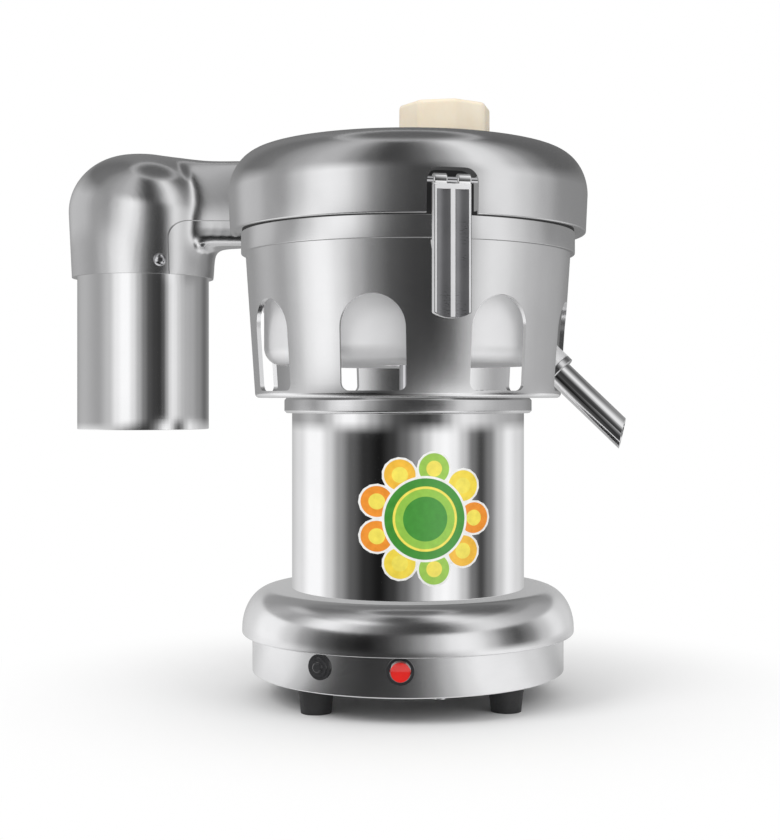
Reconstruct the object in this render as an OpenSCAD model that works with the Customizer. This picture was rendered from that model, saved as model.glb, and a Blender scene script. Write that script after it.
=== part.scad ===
// Countertop centrifugal juicer: a polished motor column on a cast base, an
// open cast shroud that carries the juice bowl, a spinning grater and strainer
// basket, and a clamped lid with a feed throat, a pulp elbow and a pulp tube.
// Origin: on the motor axis at the surface that the feet stand on.
// +Z is up, the front faces -Y, the pulp tube lies towards -X and the juice
// spout towards +X. Azimuths run from the front (-Y) towards the spout (+X).

/* [Feet and base] */
// Height of a rubber foot
foot_h = 17.5; // [14:0.5:22]
// Radius of a foot at its top
foot_r = 12; // [10:0.5:14]
// Taper of a foot, top radius less bottom radius
foot_taper = 2; // [0.5:0.25:3]
// Radius of the circle that the feet stand on
foot_circle_r = 88; // [84:0.5:90]
// Number of feet
foot_count = 4; // [3:1:4]
// Azimuth of the first foot
foot_az = -31; // [-35:1:-28]
// Radius of the base over its flange lip
base_lip_r = 115; // [112:0.5:122]
// Radius of the base's lower wall
base_wall_r = 108; // [106:0.5:110]
// Height of the base's lower wall
base_wall_h = 26.5; // [25:0.5:32]
// Height of the lip's edge
base_lip_h = 3; // [2:0.25:5]
// Height of the rounded shoulder above the lip
base_shoulder_h = 27.5; // [25:0.5:34]
// Width of the rounded shoulder
base_shoulder_w = 20; // [16:0.5:22]
// Wall of the base casting
base_wall = 3.5; // [3:0.25:4]
// Radius of the way through the base's top, for the motor and its air
base_way_r = 60; // [56:0.5:62]
// Thickness of the bottom plate
plate_t = 2; // [1.5:0.25:3]
// Number of air slots in the bottom plate
vent_count = 12; // [6:1:16]
// Width of an air slot
vent_w = 5; // [3:0.5:6]
// Length of an air slot
vent_l = 24; // [16:1:28]

/* [Controls] */
// Height of the switch and of the reset button above the base's lower edge
control_h = 17.5; // [16:0.25:18]
// Azimuth of the power switch
switch_az = 9.5; // [4:0.5:14]
// Radius of the switch's bezel
bezel_r = 8.7; // [8:0.1:9.5]
// Radius of the rocker
rocker_r = 6.3; // [5.5:0.1:6.4]
// Tilt of the rocker to either side
rocker_tilt = 8; // [4:1:9]
// Azimuth of the overload reset
reset_az = -18.8; // [-22:0.2:-14]
// Radius of the reset's round nut
reset_r = 8.2; // [7.5:0.1:9]
// Radius of the reset button
reset_button_r = 3.4; // [3:0.1:3.8]
// Travel of the reset button
reset_travel = 2.5; // [1.5:0.25:3]
// Bore of the cord gland, as a radius
gland_bore_r = 3.6; // [3:0.1:4.2]

/* [Motor] */
// Radius of the polished motor shell
motor_r = 80.7; // [80:0.1:82]
// Height of the motor shell
motor_h = 120.5; // [112:0.5:135]
// Wall of the motor shell
motor_wall = 1.2; // [0.8:0.1:1.6]
// Radius of the stator stack
stator_r = 62; // [60:0.5:63]
// Length of the stator stack
stator_h = 50; // [40:1:56]
// Radius of the rotor
rotor_r = 33.3; // [30:0.1:36]
// Air gap between the rotor and the stator
air_gap = 0.7; // [0.5:0.1:1]
// Radius of the motor shaft
shaft_r = 6; // [5:0.25:7]
// Radius of a ball bearing
bearing_r = 16; // [14:0.5:18]
// Width of a ball bearing
bearing_w = 10; // [8:0.5:11]
// Radius of the cooling fan
fan_r = 50; // [44:0.5:53]
// Number of fan blades
fan_blades = 7; // [5:1:11]
// Radius of the run capacitor
cap_r = 16; // [13:0.5:16]
// Length of the run capacitor
cap_l = 58; // [45:1:60]

/* [Neck and shroud] */
// Radius of the neck ring between the motor and the shroud
neck_r = 86; // [84:0.5:92]
// Height of the neck ring
neck_h = 10.5; // [8:0.5:14]
// Outside radius of the shroud at its bottom
shroud_bottom_r = 106.2; // [105:0.1:108]
// Outside radius of the shroud at its top
shroud_top_r = 112.7; // [112:0.1:113.2]
// Height of the shroud
shroud_h = 99; // [96:0.5:106]
// Wall of the shroud
shroud_wall = 3; // [2.5:0.25:3.5]
// Number of arched windows
arch_count = 8; // [6:1:8]
// Width of an arched window
arch_w = 42.7; // [36:0.1:46]
// Height of an arched window
arch_h = 61; // [52:0.5:64]
// Sill of the windows above the shroud's lower edge
arch_sill = 4.5; // [4:0.25:7]
// Radius of the windows' lower corners
arch_corner_r = 5; // [2:0.5:8]

/* [Juice bowl] */
// Outside radius of the rim band
band_r = 115.8; // [115:0.1:116.2]
// Height of the rim band
band_h = 14.5; // [13:0.25:18]
// Outside radius of the bowl's wall
bowl_r = 100; // [99:0.25:101]
// Depth of the bowl below the rim band
bowl_depth = 76.5; // [74:0.5:80]
// Radius of the bowl's bottom corner
bowl_corner_r = 12; // [8:0.5:16]
// Wall of the bowl
bowl_wall = 2.5; // [2:0.1:3]
// Outside radius of the juice spout
spout_r = 9; // [8:0.25:9.5]
// Bore of the juice spout, as a radius
spout_bore_r = 7; // [5.5:0.25:7.2]
// Fall of the juice spout below level
spout_fall = 44; // [40:0.5:48]
// Length of the spout from the shroud's surface to its end
spout_l = 58.4; // [45:0.5:70]
// Lean of the spout's end cut from upright
spout_cut = 13; // [0:1:20]

/* [Basket and grater] */
// Radius of the basket's bottom
basket_bottom_r = 70; // [68:0.5:74]
// Inside radius of the basket's top
basket_top_r = 89; // [86:0.5:90]
// Height of the basket
basket_h = 56; // [50:0.5:58]
// Wall of the strainer
basket_wall = 1.2; // [0.8:0.1:1.6]
// Width of the basket's rolled rim
basket_rim_w = 5.5; // [3:0.25:6]
// Number of strainer slots round the basket
slot_count = 36; // [18:1:40]
// Width of a strainer slot
slot_w = 1.2; // [0.6:0.1:2]
// Radius of the grater disc
grater_r = 66; // [62:0.5:67]
// Height of a grater tooth
tooth_h = 2; // [1:0.25:2.5]
// Number of tooth rows that spiral out over the disc
tooth_rows = 12; // [6:1:14]
// Number of teeth in a row
tooth_per_row = 6; // [4:1:7]

/* [Lid] */
// Outside radius of the lid at its rim
lid_rim_r = 123.3; // [122.6:0.1:124.2]
// Outside radius of the lid at its widest
lid_r = 124.5; // [124.3:0.1:126]
// Height of the lid's side, from the rim to the widest part
lid_side_h = 26; // [24:0.5:30]
// Height of the lid's rounded shoulder
lid_shoulder_h = 30; // [28:0.5:34]
// Width of the lid's rounded shoulder
lid_shoulder_w = 24; // [20:0.5:28]
// Rise of the lid's crown above the shoulder
lid_crown_h = 2; // [1:0.25:4]
// Radius of the flat middle of the crown
lid_flat_r = 62; // [60:0.5:66]
// Wall of the lid
lid_wall = 3; // [2.5:0.1:3.2]

/* [Pulp elbow and tube] */
// Distance of the pulp tube's axis from the motor axis
elbow_x = 196.5; // [194:0.5:204]
// Outside radius of the elbow's skirt
skirt_r = 50.5; // [50:0.1:51.5]
// Outside radius of the elbow at its shoulder
elbow_r = 53; // [52.5:0.1:54]
// Height of the elbow's shoulder above the lid's rim
elbow_side_h = 20; // [18:0.5:24]
// Height of the elbow's dome above its shoulder
elbow_dome_h = 42; // [38:0.5:46]
// Depth of the skirt below the lid's rim
skirt_drop = 27; // [24:0.5:32]
// Wall of the elbow and duct
elbow_wall = 2.5; // [2:0.1:2.6]
// Half the width of the pulp duct
duct_half_w = 42; // [38:0.5:43]
// Height of the duct's underside below the lid's rim
duct_drop = 8; // [6.5:0.25:9]
// Height of the seam between trough and hood above the lid's rim
seam_h = 11.5; // [9:0.25:13]
// Distance of the upright seam from the tube's axis
seam_x = 34; // [30:0.25:36]
// Radius of the seam's corner
seam_r = 13; // [8:0.5:14]
// Outside radius of the pulp tube
tube_r = 47; // [46:0.1:47.4]
// Wall of the pulp tube
tube_wall = 1.5; // [1:0.1:2]
// Length of the pulp tube
tube_l = 123; // [100:1:150]

/* [Feed throat and pusher] */
// Distance of the feed throat's axis from the motor axis
throat_x = 26; // [24:0.5:28]
// Width of the throat's eight-sided bore across its flats
throat_bore = 53; // [48:0.5:54]
// Wall of the throat
throat_wall = 2.2; // [1.8:0.1:2.6]
// Rise of the throat above the lid's crown
throat_rise = 12; // [8:0.5:16]
// Gap between the throat's lower end and the grater's teeth
throat_gap = 6.5; // [6:0.5:12]
// Width of the pusher's head across its flats
pusher_w = 60; // [59.5:0.5:63]
// Height of the pusher's head
pusher_h = 18.5; // [14:0.5:30]
// Length of the pusher's stem
stem_l = 95; // [80:1:98]
// Clearance of the stem in the throat
stem_clear = 0.5; // [0.3:0.1:0.8]

/* [Lid latches] */
// Azimuth of the front latch; the rear one is opposite
latch_az = 25; // [20:0.5:27]
// Width of a latch handle
latch_w = 24; // [20:0.5:26]
// Thickness of a latch handle
latch_t = 5; // [4:0.25:5.5]
// Length of a latch handle below its hinge pin
latch_l = 85.5; // [70:0.5:95]
// Height of the hinge pin above the lid's rim
latch_pin_h = 21; // [20:0.25:22]
// Radius of the hinge pin
latch_pin_r = 1.8; // [1.5:0.1:2]
// Radius of a hinge knuckle
knuckle_r = 3.8; // [3.2:0.1:4]
// Length of a hinge knuckle
knuckle_l = 8.75; // [7:0.25:9]
// Reach of the latch's hook under the rim band
hook_reach = 1.1; // [0.8:0.1:1.2]
// Gap between the hook and the rim band
hook_gap = 1.4; // [1.4:0.1:2]
// Width of the recess in the lid
recess_w = 33; // [31:0.5:36]
// Height of the recess in the lid
recess_h = 28; // [27.5:0.25:30]
// Radius of the recess's upper corners
recess_r = 9; // [4:0.5:9]

/* [Front sticker] */
// Azimuth of the sticker's middle
sticker_az = 20; // [10:1:30]
// Radius of the sticker's disc
sticker_r = 36; // [28:0.5:42]
// Height of the sticker's middle above the motor shell's lower end
sticker_h = 53; // [45:0.5:70]
// Thickness of the sticker
sticker_t = 0.3; // [0.2:0.05:0.5]

/* [Hidden] */
$fn = 96;

// Overrun of a cut past the face that it opens
over = 1;
// Radial clearance of a shaft or hinge pin that turns
running = 0.05;
// Radial clearance of a fixed piece in its seat
seat = 0.03;
// Gap between pieces that move past each other
clear = 0.5;

// Levels
base_z = foot_h;
lip_z = base_z + base_wall_h;
shoulder_z = lip_z + base_lip_h;
base_top = shoulder_z + base_shoulder_h;
neck_z = base_top + motor_h;
shroud_z = neck_z + neck_h;
band_z = shroud_z + shroud_h;
rim_z = band_z + band_h;
bowl_z = band_z - bowl_depth;
belly_z = rim_z + lid_side_h;
lid_shoulder_top = belly_z + lid_shoulder_h;
crown_z = lid_shoulder_top + lid_crown_h;

// Sizes of the base's inner pieces
plate_clear = 0.5;
post_r = 5;
post_circle_r = 96;
post_turn = 55;
base_screw_r = 2;
base_screw_l = 14;
screw_head_h = 2.4;
foot_screw_r = 2.2;
foot_hole_r = 2.5;
foot_sink_r = 5.5;
foot_sink_h = 8;
nut_r = 4.6;
nut_h = 3.2;
control_z = base_z + control_h;
spigot_h = 7;
spigot_t = 3;
spigot_clear = 0.3;

// Controls
seat_flat = 0.5;
flange_clear = 0.2;
bezel_t = 2;
bezel_bore_r = 6.9;
bezel_depth = 7.4;
switch_barrel_r = 7.4;
switch_body_l = 22;
control_clear = 0.1;
control_nut_t = 3;
control_nut_w = 2.8;
control_nut_gap = 0.65;
rocker_back = 3;
rocker_front = 2.2;
rocker_stub_r = 1;
rocker_stub_l = 0.9;
rocker_pivot = 1.2;
reset_flange_t = 2.6;
reset_step_r = 6;
reset_step_t = 1;
reset_barrel_r = 5.6;
reset_body_l = 24;
reset_proud = 3.2;
reset_button_l = 9;
reset_collar_r = 4.4;
reset_collar_t = 1.6;
gland_r = 6.4;
gland_flange_r = 8.3;
gland_flange_t = 2.6;
gland_in = 8;

// Motor
shell_in_r = motor_r - motor_wall;
shield_r = shell_in_r - spigot_clear - spigot_t - spigot_clear - clear;
lower_shield_t = 6;
upper_shield_t = 8;
shield_skirt_t = 5;
shield_boss_r = bearing_r + lower_shield_t;
upper_shield_z = neck_z - upper_shield_t;
lower_shield_top = base_top + lower_shield_t;
stator_z = lower_shield_top + (upper_shield_z - lower_shield_top - stator_h) / 2;
stator_top = stator_z + stator_h;
stator_bore_r = rotor_r + air_gap;
winding_gap = 2.5;
winding_h = 16;
bolt_r = 2.5;
bolt_circle_r = 67.5;
bolt_count = 4;
bolt_clear = 0.15;
bolt_head_r = 4.2;
bolt_head_h = 4;
lower_bearing_z = base_top + lower_shield_t - bearing_w / 2;
upper_bearing_z = upper_shield_z - bearing_w / 2;
shaft_drop = 26;
fan_drop = 9;
fan_top = base_top - fan_drop;
fan_h = 12;
fan_hub_r = 13;
fan_plate_t = 2;
fan_blade_t = 1.6;
fan_blade_share = 0.8;
cap_y = 75;
cap_lift = 1;
strap_t = 1.4;
strap_w = 12;
strap_foot = 12;
block_l = 38;
block_w = 16;
block_h = 14;
block_x = 78;
block_ways = 4;
block_way_r = 2;
block_way_h = 9;

// Neck and shroud
neck_edge = 1.5;
neck_spigot_h = 4;
neck_bore_r = 46;
floor_t = 3;
floor_bore_r = 40;
shroud_edge = 3;
shroud_screw_r = 2.5;
shroud_screw_circle_r = 53;
shroud_screw_l = 20;
shroud_screw_turn = 22.5;

// Bowl, hub, basket and grater
flange_t = 4;
band_t = 3;
chimney_r = 20;
chimney_t = 3;
chimney_h = 14;
seal_t = 6;
seal_gap = 2;
gasket_t = 2.5;
gasket_w = 4.3;
gasket_in = 0.5;
spout_drop = 6.1;
boss_wall = 3.5;
boss_back = 22;
spout_in = 15;
boss_front = 5;
spout_nut_t = 4.5;
spout_nut_w = 3.5;
hub_gap = 1.5;
hub_z = bowl_z + chimney_h + hub_gap;
hub_r = 26;
hub_t = 6;
basket_z = hub_z + hub_t;
basket_floor_t = 1.5;
basket_way_r = 12;
rim_bead_h = 3;
grater_z = basket_z + basket_floor_t;
grater_t = 2.5;
grater_top = grater_z + grater_t;
tooth_first_r = 18;
tooth_w = 3;
tooth_l = 4;
tooth_turn = 7;
lock_nut_r = 11;
lock_nut_h = 4.5;
shaft_end = 1;
shaft_top = grater_top + lock_nut_h + shaft_end;
slot_low_share = 0.12;
slot_high_share = 0.9;

// Lid, elbow and duct
ledge_t = 3;
ledge_w = 10;
elbow_shoulder_z = rim_z + elbow_side_h;
elbow_top = elbow_shoulder_z + elbow_dome_h;
elbow_flat_r = 8;
skirt_z = rim_z - skirt_drop;
duct_z = rim_z - duct_drop;
duct_end_r = 96;
duct_end_z = lid_shoulder_top;
duct_top_r = 18;
duct_bottom_r = 10;
duct_slope_share = 0.62;
seam_z = rim_z + seam_h;
seam_gap = 0.5;
tube_in = 14;
tube_top = skirt_z + tube_in;
tube_bottom = tube_top - tube_l;
tube_screw_r = 2;
tube_screw_head_r = 4.6;
tube_screw_head_h = 3;
tube_screw_h = 9.5;
tube_screw_turns = [-55, 55, 180];
tube_screw_gap = 0.3;
tube_screw_x = skirt_r + (elbow_r - skirt_r) * tube_screw_h / (elbow_shoulder_z - skirt_z) + tube_screw_gap;

// Feed throat and pusher
throat_w = throat_bore + 2 * throat_wall;
throat_top = crown_z + throat_rise;
throat_z = grater_top + tooth_h + throat_gap;
throat_flange_w = 68;
throat_flange_t = 3;
pusher_edge = 2.5;

// Latches
pin_z = rim_z + latch_pin_h;
handle_gap = 1.2;
handle_in_x = band_r + handle_gap;
handle_out_x = handle_in_x + latch_t;
pin_x = (handle_in_x + handle_out_x) / 2;
handle_z = pin_z - latch_l;
recess_back = 8;
recess_x = pin_x - recess_back;
recess_wall = 2.5;
pin_end = 2;
rib_t = 1.2;
// The recess opens past the lid's side and the handle that hangs in it
recess_l = max(lid_r, lid_rim_r, handle_out_x + rib_t) - recess_x;
rib_w = 3.4;
edge_rib_w = 1.6;
hook_h = 5;
hook_slope = 2.5;
handle_tip = 2.5;

// Sticker
lobe_count = 11;
lobe_r = 9;
lobe_ring_share = 0.98;

// Points on an arc of an ellipse, from one angle to another
function arc(cx, cy, rx, ry, a0, a1, n) =
    [for (i = [0:n]) let (a = a0 + (a1 - a0) * i / n) [cx + rx * cos(a), cy + ry * sin(a)]];

// Turns a piece so that its +X points outward at an azimuth
module outward(az) {
    rotate([0, 0, az - 90])
        children();
}

// Stands a flat outline up so that it is extruded along +X
module along_x(l) {
    rotate([90, 0, 90])
        linear_extrude(l)
            children();
}

// Stands a flat outline up in the XZ plane, centred on Y
module across_y(l) {
    rotate([90, 0, 0])
        linear_extrude(l, center = true)
            children();
}

// An eight-sided bar, given by its width across flats
module octagon(w, h) {
    rotate([0, 0, 22.5])
        cylinder(r = w / 2 / cos(22.5), h = h, $fn = 8);
}

// Cast base: lower wall, flange lip, rounded shoulder and a flat top that the
// motor stands on, with screw posts inside
module base_casting() {
    top_r = base_lip_r - base_shoulder_w;
    in_r = base_wall_r - base_wall;
    color([0.72, 0.72, 0.73]) difference() {
        union() {
            rotate_extrude() difference() {
                polygon(concat(
                    [[base_way_r, base_z], [base_wall_r, base_z], [base_wall_r, lip_z], [base_lip_r, lip_z]],
                    arc(top_r, shoulder_z, base_shoulder_w, base_shoulder_h, 0, 90, 12),
                    [[base_way_r, base_top]]));
                polygon(concat(
                    [[base_way_r - over, base_z - over], [in_r, base_z - over]],
                    arc(top_r, shoulder_z, in_r - top_r, base_shoulder_h - base_wall, 0, 90, 8),
                    [[base_way_r - over, base_top - base_wall]]));
            }
            rotate_extrude()
                translate([shell_in_r - spigot_clear - spigot_t, base_top - base_wall])
                    square([spigot_t, spigot_h + base_wall]);
            for (i = [0:foot_count - 1]) outward(foot_az + post_turn + i * 360 / foot_count)
                translate([post_circle_r, 0, base_z + plate_t])
                    cylinder(r = post_r, h = base_top - base_z - plate_t - base_wall / 2);
        }
        for (i = [0:foot_count - 1]) outward(foot_az + post_turn + i * 360 / foot_count)
            translate([post_circle_r, 0, base_z])
                cylinder(r = base_screw_r + seat, h = base_screw_l + over);
        for (i = [0:bolt_count - 1]) rotate([0, 0, i * 360 / bolt_count])
            translate([bolt_circle_r, 0, base_top - base_wall - over])
                cylinder(r = bolt_r + bolt_clear, h = base_wall + 2 * over);
        control_hole(switch_az, switch_barrel_r + control_clear, bezel_r);
        control_hole(reset_az, reset_barrel_r + control_clear, reset_r);
        control_hole(180, gland_r + control_clear, gland_flange_r);
    }
}

// Hole through the base's wall with a flat spot for a control's flange
module control_hole(az, r, flange_r) {
    outward(az) translate([0, 0, control_z]) rotate([0, 90, 0]) {
        translate([0, 0, base_wall_r - base_wall - 2 * over])
            cylinder(r = r, h = base_wall + 3 * over);
        translate([0, 0, base_wall_r - seat_flat])
            cylinder(r = flange_r + flange_clear, h = seat_flat + over);
    }
}

// Sheet bottom plate with air slots under the fan
module base_plate() {
    color([0.35, 0.35, 0.37]) difference() {
        translate([0, 0, base_z])
            cylinder(r = base_wall_r - base_wall - plate_clear, h = plate_t);
        for (i = [0:foot_count - 1]) {
            outward(foot_az + post_turn + i * 360 / foot_count)
                translate([post_circle_r, 0, base_z - over])
                    cylinder(r = base_screw_r + bolt_clear, h = plate_t + 2 * over);
            outward(foot_az + i * 360 / foot_count)
                translate([foot_circle_r, 0, base_z - over])
                    cylinder(r = foot_screw_r + bolt_clear, h = plate_t + 2 * over);
        }
        for (i = [0:vent_count - 1]) outward(i * 360 / vent_count)
            translate([fan_r - vent_l, -vent_w / 2, base_z - over])
                cube([vent_l, vent_w, plate_t + 2 * over]);
    }
}

// Screws that hold the bottom plate to the posts
module base_plate_screws() {
    color([0.6, 0.6, 0.62]) for (i = [0:foot_count - 1])
        outward(foot_az + post_turn + i * 360 / foot_count) translate([post_circle_r, 0, 0]) {
            translate([0, 0, base_z - screw_head_h])
                cylinder(r = 2 * base_screw_r, h = screw_head_h);
            translate([0, 0, base_z - screw_head_h])
                cylinder(r = base_screw_r, h = base_screw_l + screw_head_h);
        }
}

// Tapered rubber feet, bored and sunk for their screws
module feet() {
    color([0.06, 0.06, 0.06]) for (i = [0:foot_count - 1])
        outward(foot_az + i * 360 / foot_count) translate([foot_circle_r, 0, 0])
            rotate_extrude() polygon([
                [foot_sink_r, 0], [foot_r - foot_taper, 0], [foot_r, foot_h], [foot_hole_r, foot_h],
                [foot_hole_r, foot_sink_h], [foot_sink_r, foot_sink_h]]);
}

// A screw up through each foot with its nut on the bottom plate
module foot_screws() {
    color([0.6, 0.6, 0.62]) for (i = [0:foot_count - 1])
        outward(foot_az + i * 360 / foot_count) translate([foot_circle_r, 0, 0]) {
            translate([0, 0, foot_sink_h - screw_head_h])
                cylinder(r = 2 * foot_screw_r, h = screw_head_h);
            translate([0, 0, foot_sink_h - screw_head_h])
                cylinder(r = foot_screw_r, h = foot_h + plate_t + nut_h + over - foot_sink_h + screw_head_h);
            translate([0, 0, foot_h + plate_t])
                cylinder(r = nut_r, h = nut_h, $fn = 6);
        }
}

// Gland at the back where a mains lead would enter
module cord_gland() {
    color([0.08, 0.08, 0.08]) outward(180) translate([0, 0, control_z]) rotate([0, 90, 0])
        rotate_extrude() polygon([
            [gland_bore_r, base_wall_r - base_wall - gland_in], [gland_r, base_wall_r - base_wall - gland_in],
            [gland_r, base_wall_r - seat_flat], [gland_flange_r, base_wall_r - seat_flat],
            [gland_flange_r - gland_flange_t / 2, base_wall_r - seat_flat + gland_flange_t],
            [gland_bore_r, base_wall_r - seat_flat + gland_flange_t]]);
}

// Polished tube round the motor
module motor_shell() {
    color([0.85, 0.85, 0.87]) difference() {
        translate([0, 0, base_top])
            cylinder(r = motor_r, h = motor_h);
        translate([0, 0, base_top - over])
            cylinder(r = shell_in_r, h = motor_h + 2 * over);
    }
}

// Cast ring that closes the motor shell and carries the shroud
module neck_ring() {
    spigot_r = shell_in_r - spigot_clear;
    color([0.72, 0.72, 0.73]) difference() {
        rotate_extrude() polygon([
            [neck_bore_r, neck_z], [spigot_r - spigot_t, neck_z],
            [spigot_r - spigot_t, neck_z - neck_spigot_h],
            [spigot_r, neck_z - neck_spigot_h], [spigot_r, neck_z], [neck_r - neck_edge, neck_z],
            [neck_r, neck_z + neck_edge], [neck_r, shroud_z - neck_edge], [neck_r - neck_edge, shroud_z],
            [neck_bore_r, shroud_z]]);
        shroud_screw_places()
            translate([0, 0, neck_z - over])
                cylinder(r = shroud_screw_r + bolt_clear, h = neck_h + 2 * over);
    }
}

module shroud_screw_places() {
    for (i = [0:bolt_count - 1]) rotate([0, 0, shroud_screw_turn + i * 360 / bolt_count])
        translate([shroud_screw_circle_r, 0, 0])
            children();
}

// End shield with a bearing boss and a skirt that reaches the stator. It lies
// with its flat face at z = 0 and its skirt upward
module end_shield(t, skirt_h) {
    difference() {
        union() {
            cylinder(r = shield_r, h = t);
            cylinder(r = shield_boss_r, h = t + bearing_w / 2);
            rotate_extrude()
                translate([stator_r - shield_skirt_t, 0])
                    square([shield_skirt_t, t + skirt_h]);
        }
        translate([0, 0, t - bearing_w / 2])
            cylinder(r = bearing_r + seat, h = bearing_w + over);
        translate([0, 0, -over])
            cylinder(r = shaft_r + clear, h = t + 2 * over);
        for (i = [0:bolt_count - 1]) rotate([0, 0, i * 360 / bolt_count])
            translate([bolt_circle_r, 0, -over])
                cylinder(r = bolt_r + bolt_clear, h = t + 2 * over);
    }
}

module lower_end_shield() {
    color([0.66, 0.67, 0.69])
        translate([0, 0, base_top])
            end_shield(lower_shield_t, stator_z - lower_shield_top);
}

module upper_end_shield() {
    color([0.66, 0.67, 0.69]) difference() {
        translate([0, 0, neck_z])
            mirror([0, 0, 1])
                end_shield(upper_shield_t, upper_shield_z - stator_top);
        for (i = [0:bolt_count - 1]) rotate([0, 0, i * 360 / bolt_count])
            translate([bolt_circle_r, 0, neck_z - bolt_head_h - clear])
                cylinder(r = bolt_head_r + bolt_clear, h = bolt_head_h + clear + over);
        shroud_screw_places()
            translate([0, 0, neck_z - shroud_screw_l + neck_h + floor_t - over])
                cylinder(r = shroud_screw_r + seat, h = shroud_screw_l);
    }
}

// Laminated stack of the stator
module stator_core() {
    color([0.4, 0.4, 0.42]) translate([0, 0, stator_z]) difference() {
        cylinder(r = stator_r, h = stator_h);
        translate([0, 0, -over])
            cylinder(r = stator_bore_r, h = stator_h + 2 * over);
    }
}

// Bound end turns above and below the stack
module stator_windings() {
    in_r = stator_bore_r + winding_gap;
    out_r = stator_r - shield_skirt_t - winding_gap;
    color([0.72, 0.4, 0.2]) for (z = [stator_z - winding_h, stator_top])
        translate([0, 0, z])
            rotate_extrude()
                translate([in_r, 0])
                    square([out_r - in_r, winding_h]);
}

// Long bolts that clamp the shields and the stack to the base
module through_bolts() {
    nut_z = base_top - base_wall - nut_h;
    head_z = neck_z - bolt_head_h - clear;
    color([0.6, 0.6, 0.62]) for (i = [0:bolt_count - 1]) rotate([0, 0, i * 360 / bolt_count])
        translate([bolt_circle_r, 0, 0]) {
            translate([0, 0, nut_z - over])
                cylinder(r = bolt_r, h = head_z - nut_z + 2 * over);
            translate([0, 0, head_z])
                cylinder(r = bolt_head_r, h = bolt_head_h);
            translate([0, 0, nut_z])
                cylinder(r = nut_r, h = nut_h, $fn = 6);
        }
}

module bearing(z) {
    color([0.75, 0.75, 0.78]) translate([0, 0, z]) difference() {
        cylinder(r = bearing_r, h = bearing_w);
        translate([0, 0, -over])
            cylinder(r = shaft_r + running, h = bearing_w + 2 * over);
    }
}

module lower_bearing() {
    bearing(lower_bearing_z);
}

module upper_bearing() {
    bearing(upper_bearing_z);
}

// Run capacitor lying on the bottom plate behind the fan
module run_capacitor() {
    color([0.8, 0.8, 0.78])
        translate([-cap_l / 2, cap_y, base_z + plate_t + cap_lift + cap_r])
            rotate([0, 90, 0])
                cylinder(r = cap_r, h = cap_l);
}

// Strap over the capacitor with a foot on each side
module capacitor_clamp() {
    r = cap_r + seat;
    plate_top = base_z + plate_t;
    color([0.6, 0.6, 0.62])
        translate([-strap_w / 2, cap_y, plate_top])
            along_x(strap_w) difference() {
                union() {
                    translate([0, cap_lift + cap_r])
                        circle(r = r + strap_t);
                    translate([-r - strap_t, 0])
                        square([2 * (r + strap_t), cap_lift + cap_r]);
                    translate([-r - strap_t - strap_foot, 0])
                        square([strap_foot + strap_t, strap_t]);
                }
                translate([0, cap_lift + cap_r])
                    circle(r = r);
                translate([-r, -over])
                    square([2 * r, cap_lift + cap_r + over]);
            }
}

// Terminal block for the mains and motor leads
module terminal_block() {
    pitch = block_l / block_ways;
    color([0.85, 0.84, 0.78]) translate([-block_x, -block_l / 2, base_z + plate_t]) difference() {
        cube([block_w, block_l, block_h]);
        for (i = [0:block_ways - 1])
            translate([-over, (i + 0.5) * pitch, block_way_h])
                rotate([0, 90, 0])
                    cylinder(r = block_way_r, h = block_w + 2 * over);
    }
}

// Outline of an arched window, standing on its sill
module arch_outline() {
    half = arch_w / 2;
    translate([0, arch_h - half])
        circle(r = half);
    translate([-half, arch_corner_r])
        square([arch_w, arch_h - half - arch_corner_r]);
    translate([arch_corner_r - half, 0])
        square([arch_w - 2 * arch_corner_r, 2 * arch_corner_r]);
    for (side = [-1, 1])
        translate([side * (half - arch_corner_r), arch_corner_r])
            circle(r = arch_corner_r);
}

// Cast shroud: a flared wall with arched windows on a flat floor
module shroud() {
    color([0.74, 0.74, 0.75]) difference() {
        rotate_extrude() polygon([
            [floor_bore_r, shroud_z], [shroud_bottom_r - shroud_edge, shroud_z],
            [shroud_bottom_r, shroud_z + shroud_edge], [shroud_top_r, band_z],
            [shroud_top_r - shroud_wall, band_z], [shroud_bottom_r - shroud_wall, shroud_z + floor_t],
            [floor_bore_r, shroud_z + floor_t]]);
        for (i = [0:arch_count - 1]) outward(i * 360 / arch_count)
            translate([bowl_r - shroud_wall, 0, shroud_z + arch_sill])
                along_x(shroud_top_r - bowl_r + shroud_wall + over)
                    arch_outline();
        shroud_screw_places()
            translate([0, 0, shroud_z - over])
                cylinder(r = shroud_screw_r + bolt_clear, h = floor_t + 2 * over);
    }
}

// Screws through the shroud's floor and the neck ring into the motor
module shroud_screws() {
    color([0.8, 0.8, 0.82]) shroud_screw_places()
        translate([0, 0, shroud_z + floor_t]) {
            translate([0, 0, -shroud_screw_l])
                cylinder(r = shroud_screw_r, h = shroud_screw_l + over);
            cylinder(r = 1.8 * shroud_screw_r, h = shroud_screw_r);
        }
}

// Places a piece on the juice spout's axis, where it crosses the shroud
module on_spout() {
    translate([shroud_bottom_r, 0, bowl_z - spout_drop])
        rotate([0, 90 + spout_fall, 0])
            children();
}

// Cross-section of the pulp duct, shrunk by a wall
module duct_section(wall) {
    half = duct_half_w - wall;
    low = duct_z + wall;
    high = elbow_top - wall;
    top_r = duct_top_r - wall;
    low_r = duct_bottom_r - wall;
    polygon(concat(
        arc(half - low_r, low + low_r, low_r, low_r, -90, 0, 4),
        arc(half - top_r, high - top_r, top_r, top_r, 0, 90, 6),
        arc(top_r - half, high - top_r, top_r, top_r, 90, 180, 6),
        arc(low_r - half, low + low_r, low_r, low_r, 180, 270, 4)));
}

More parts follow.
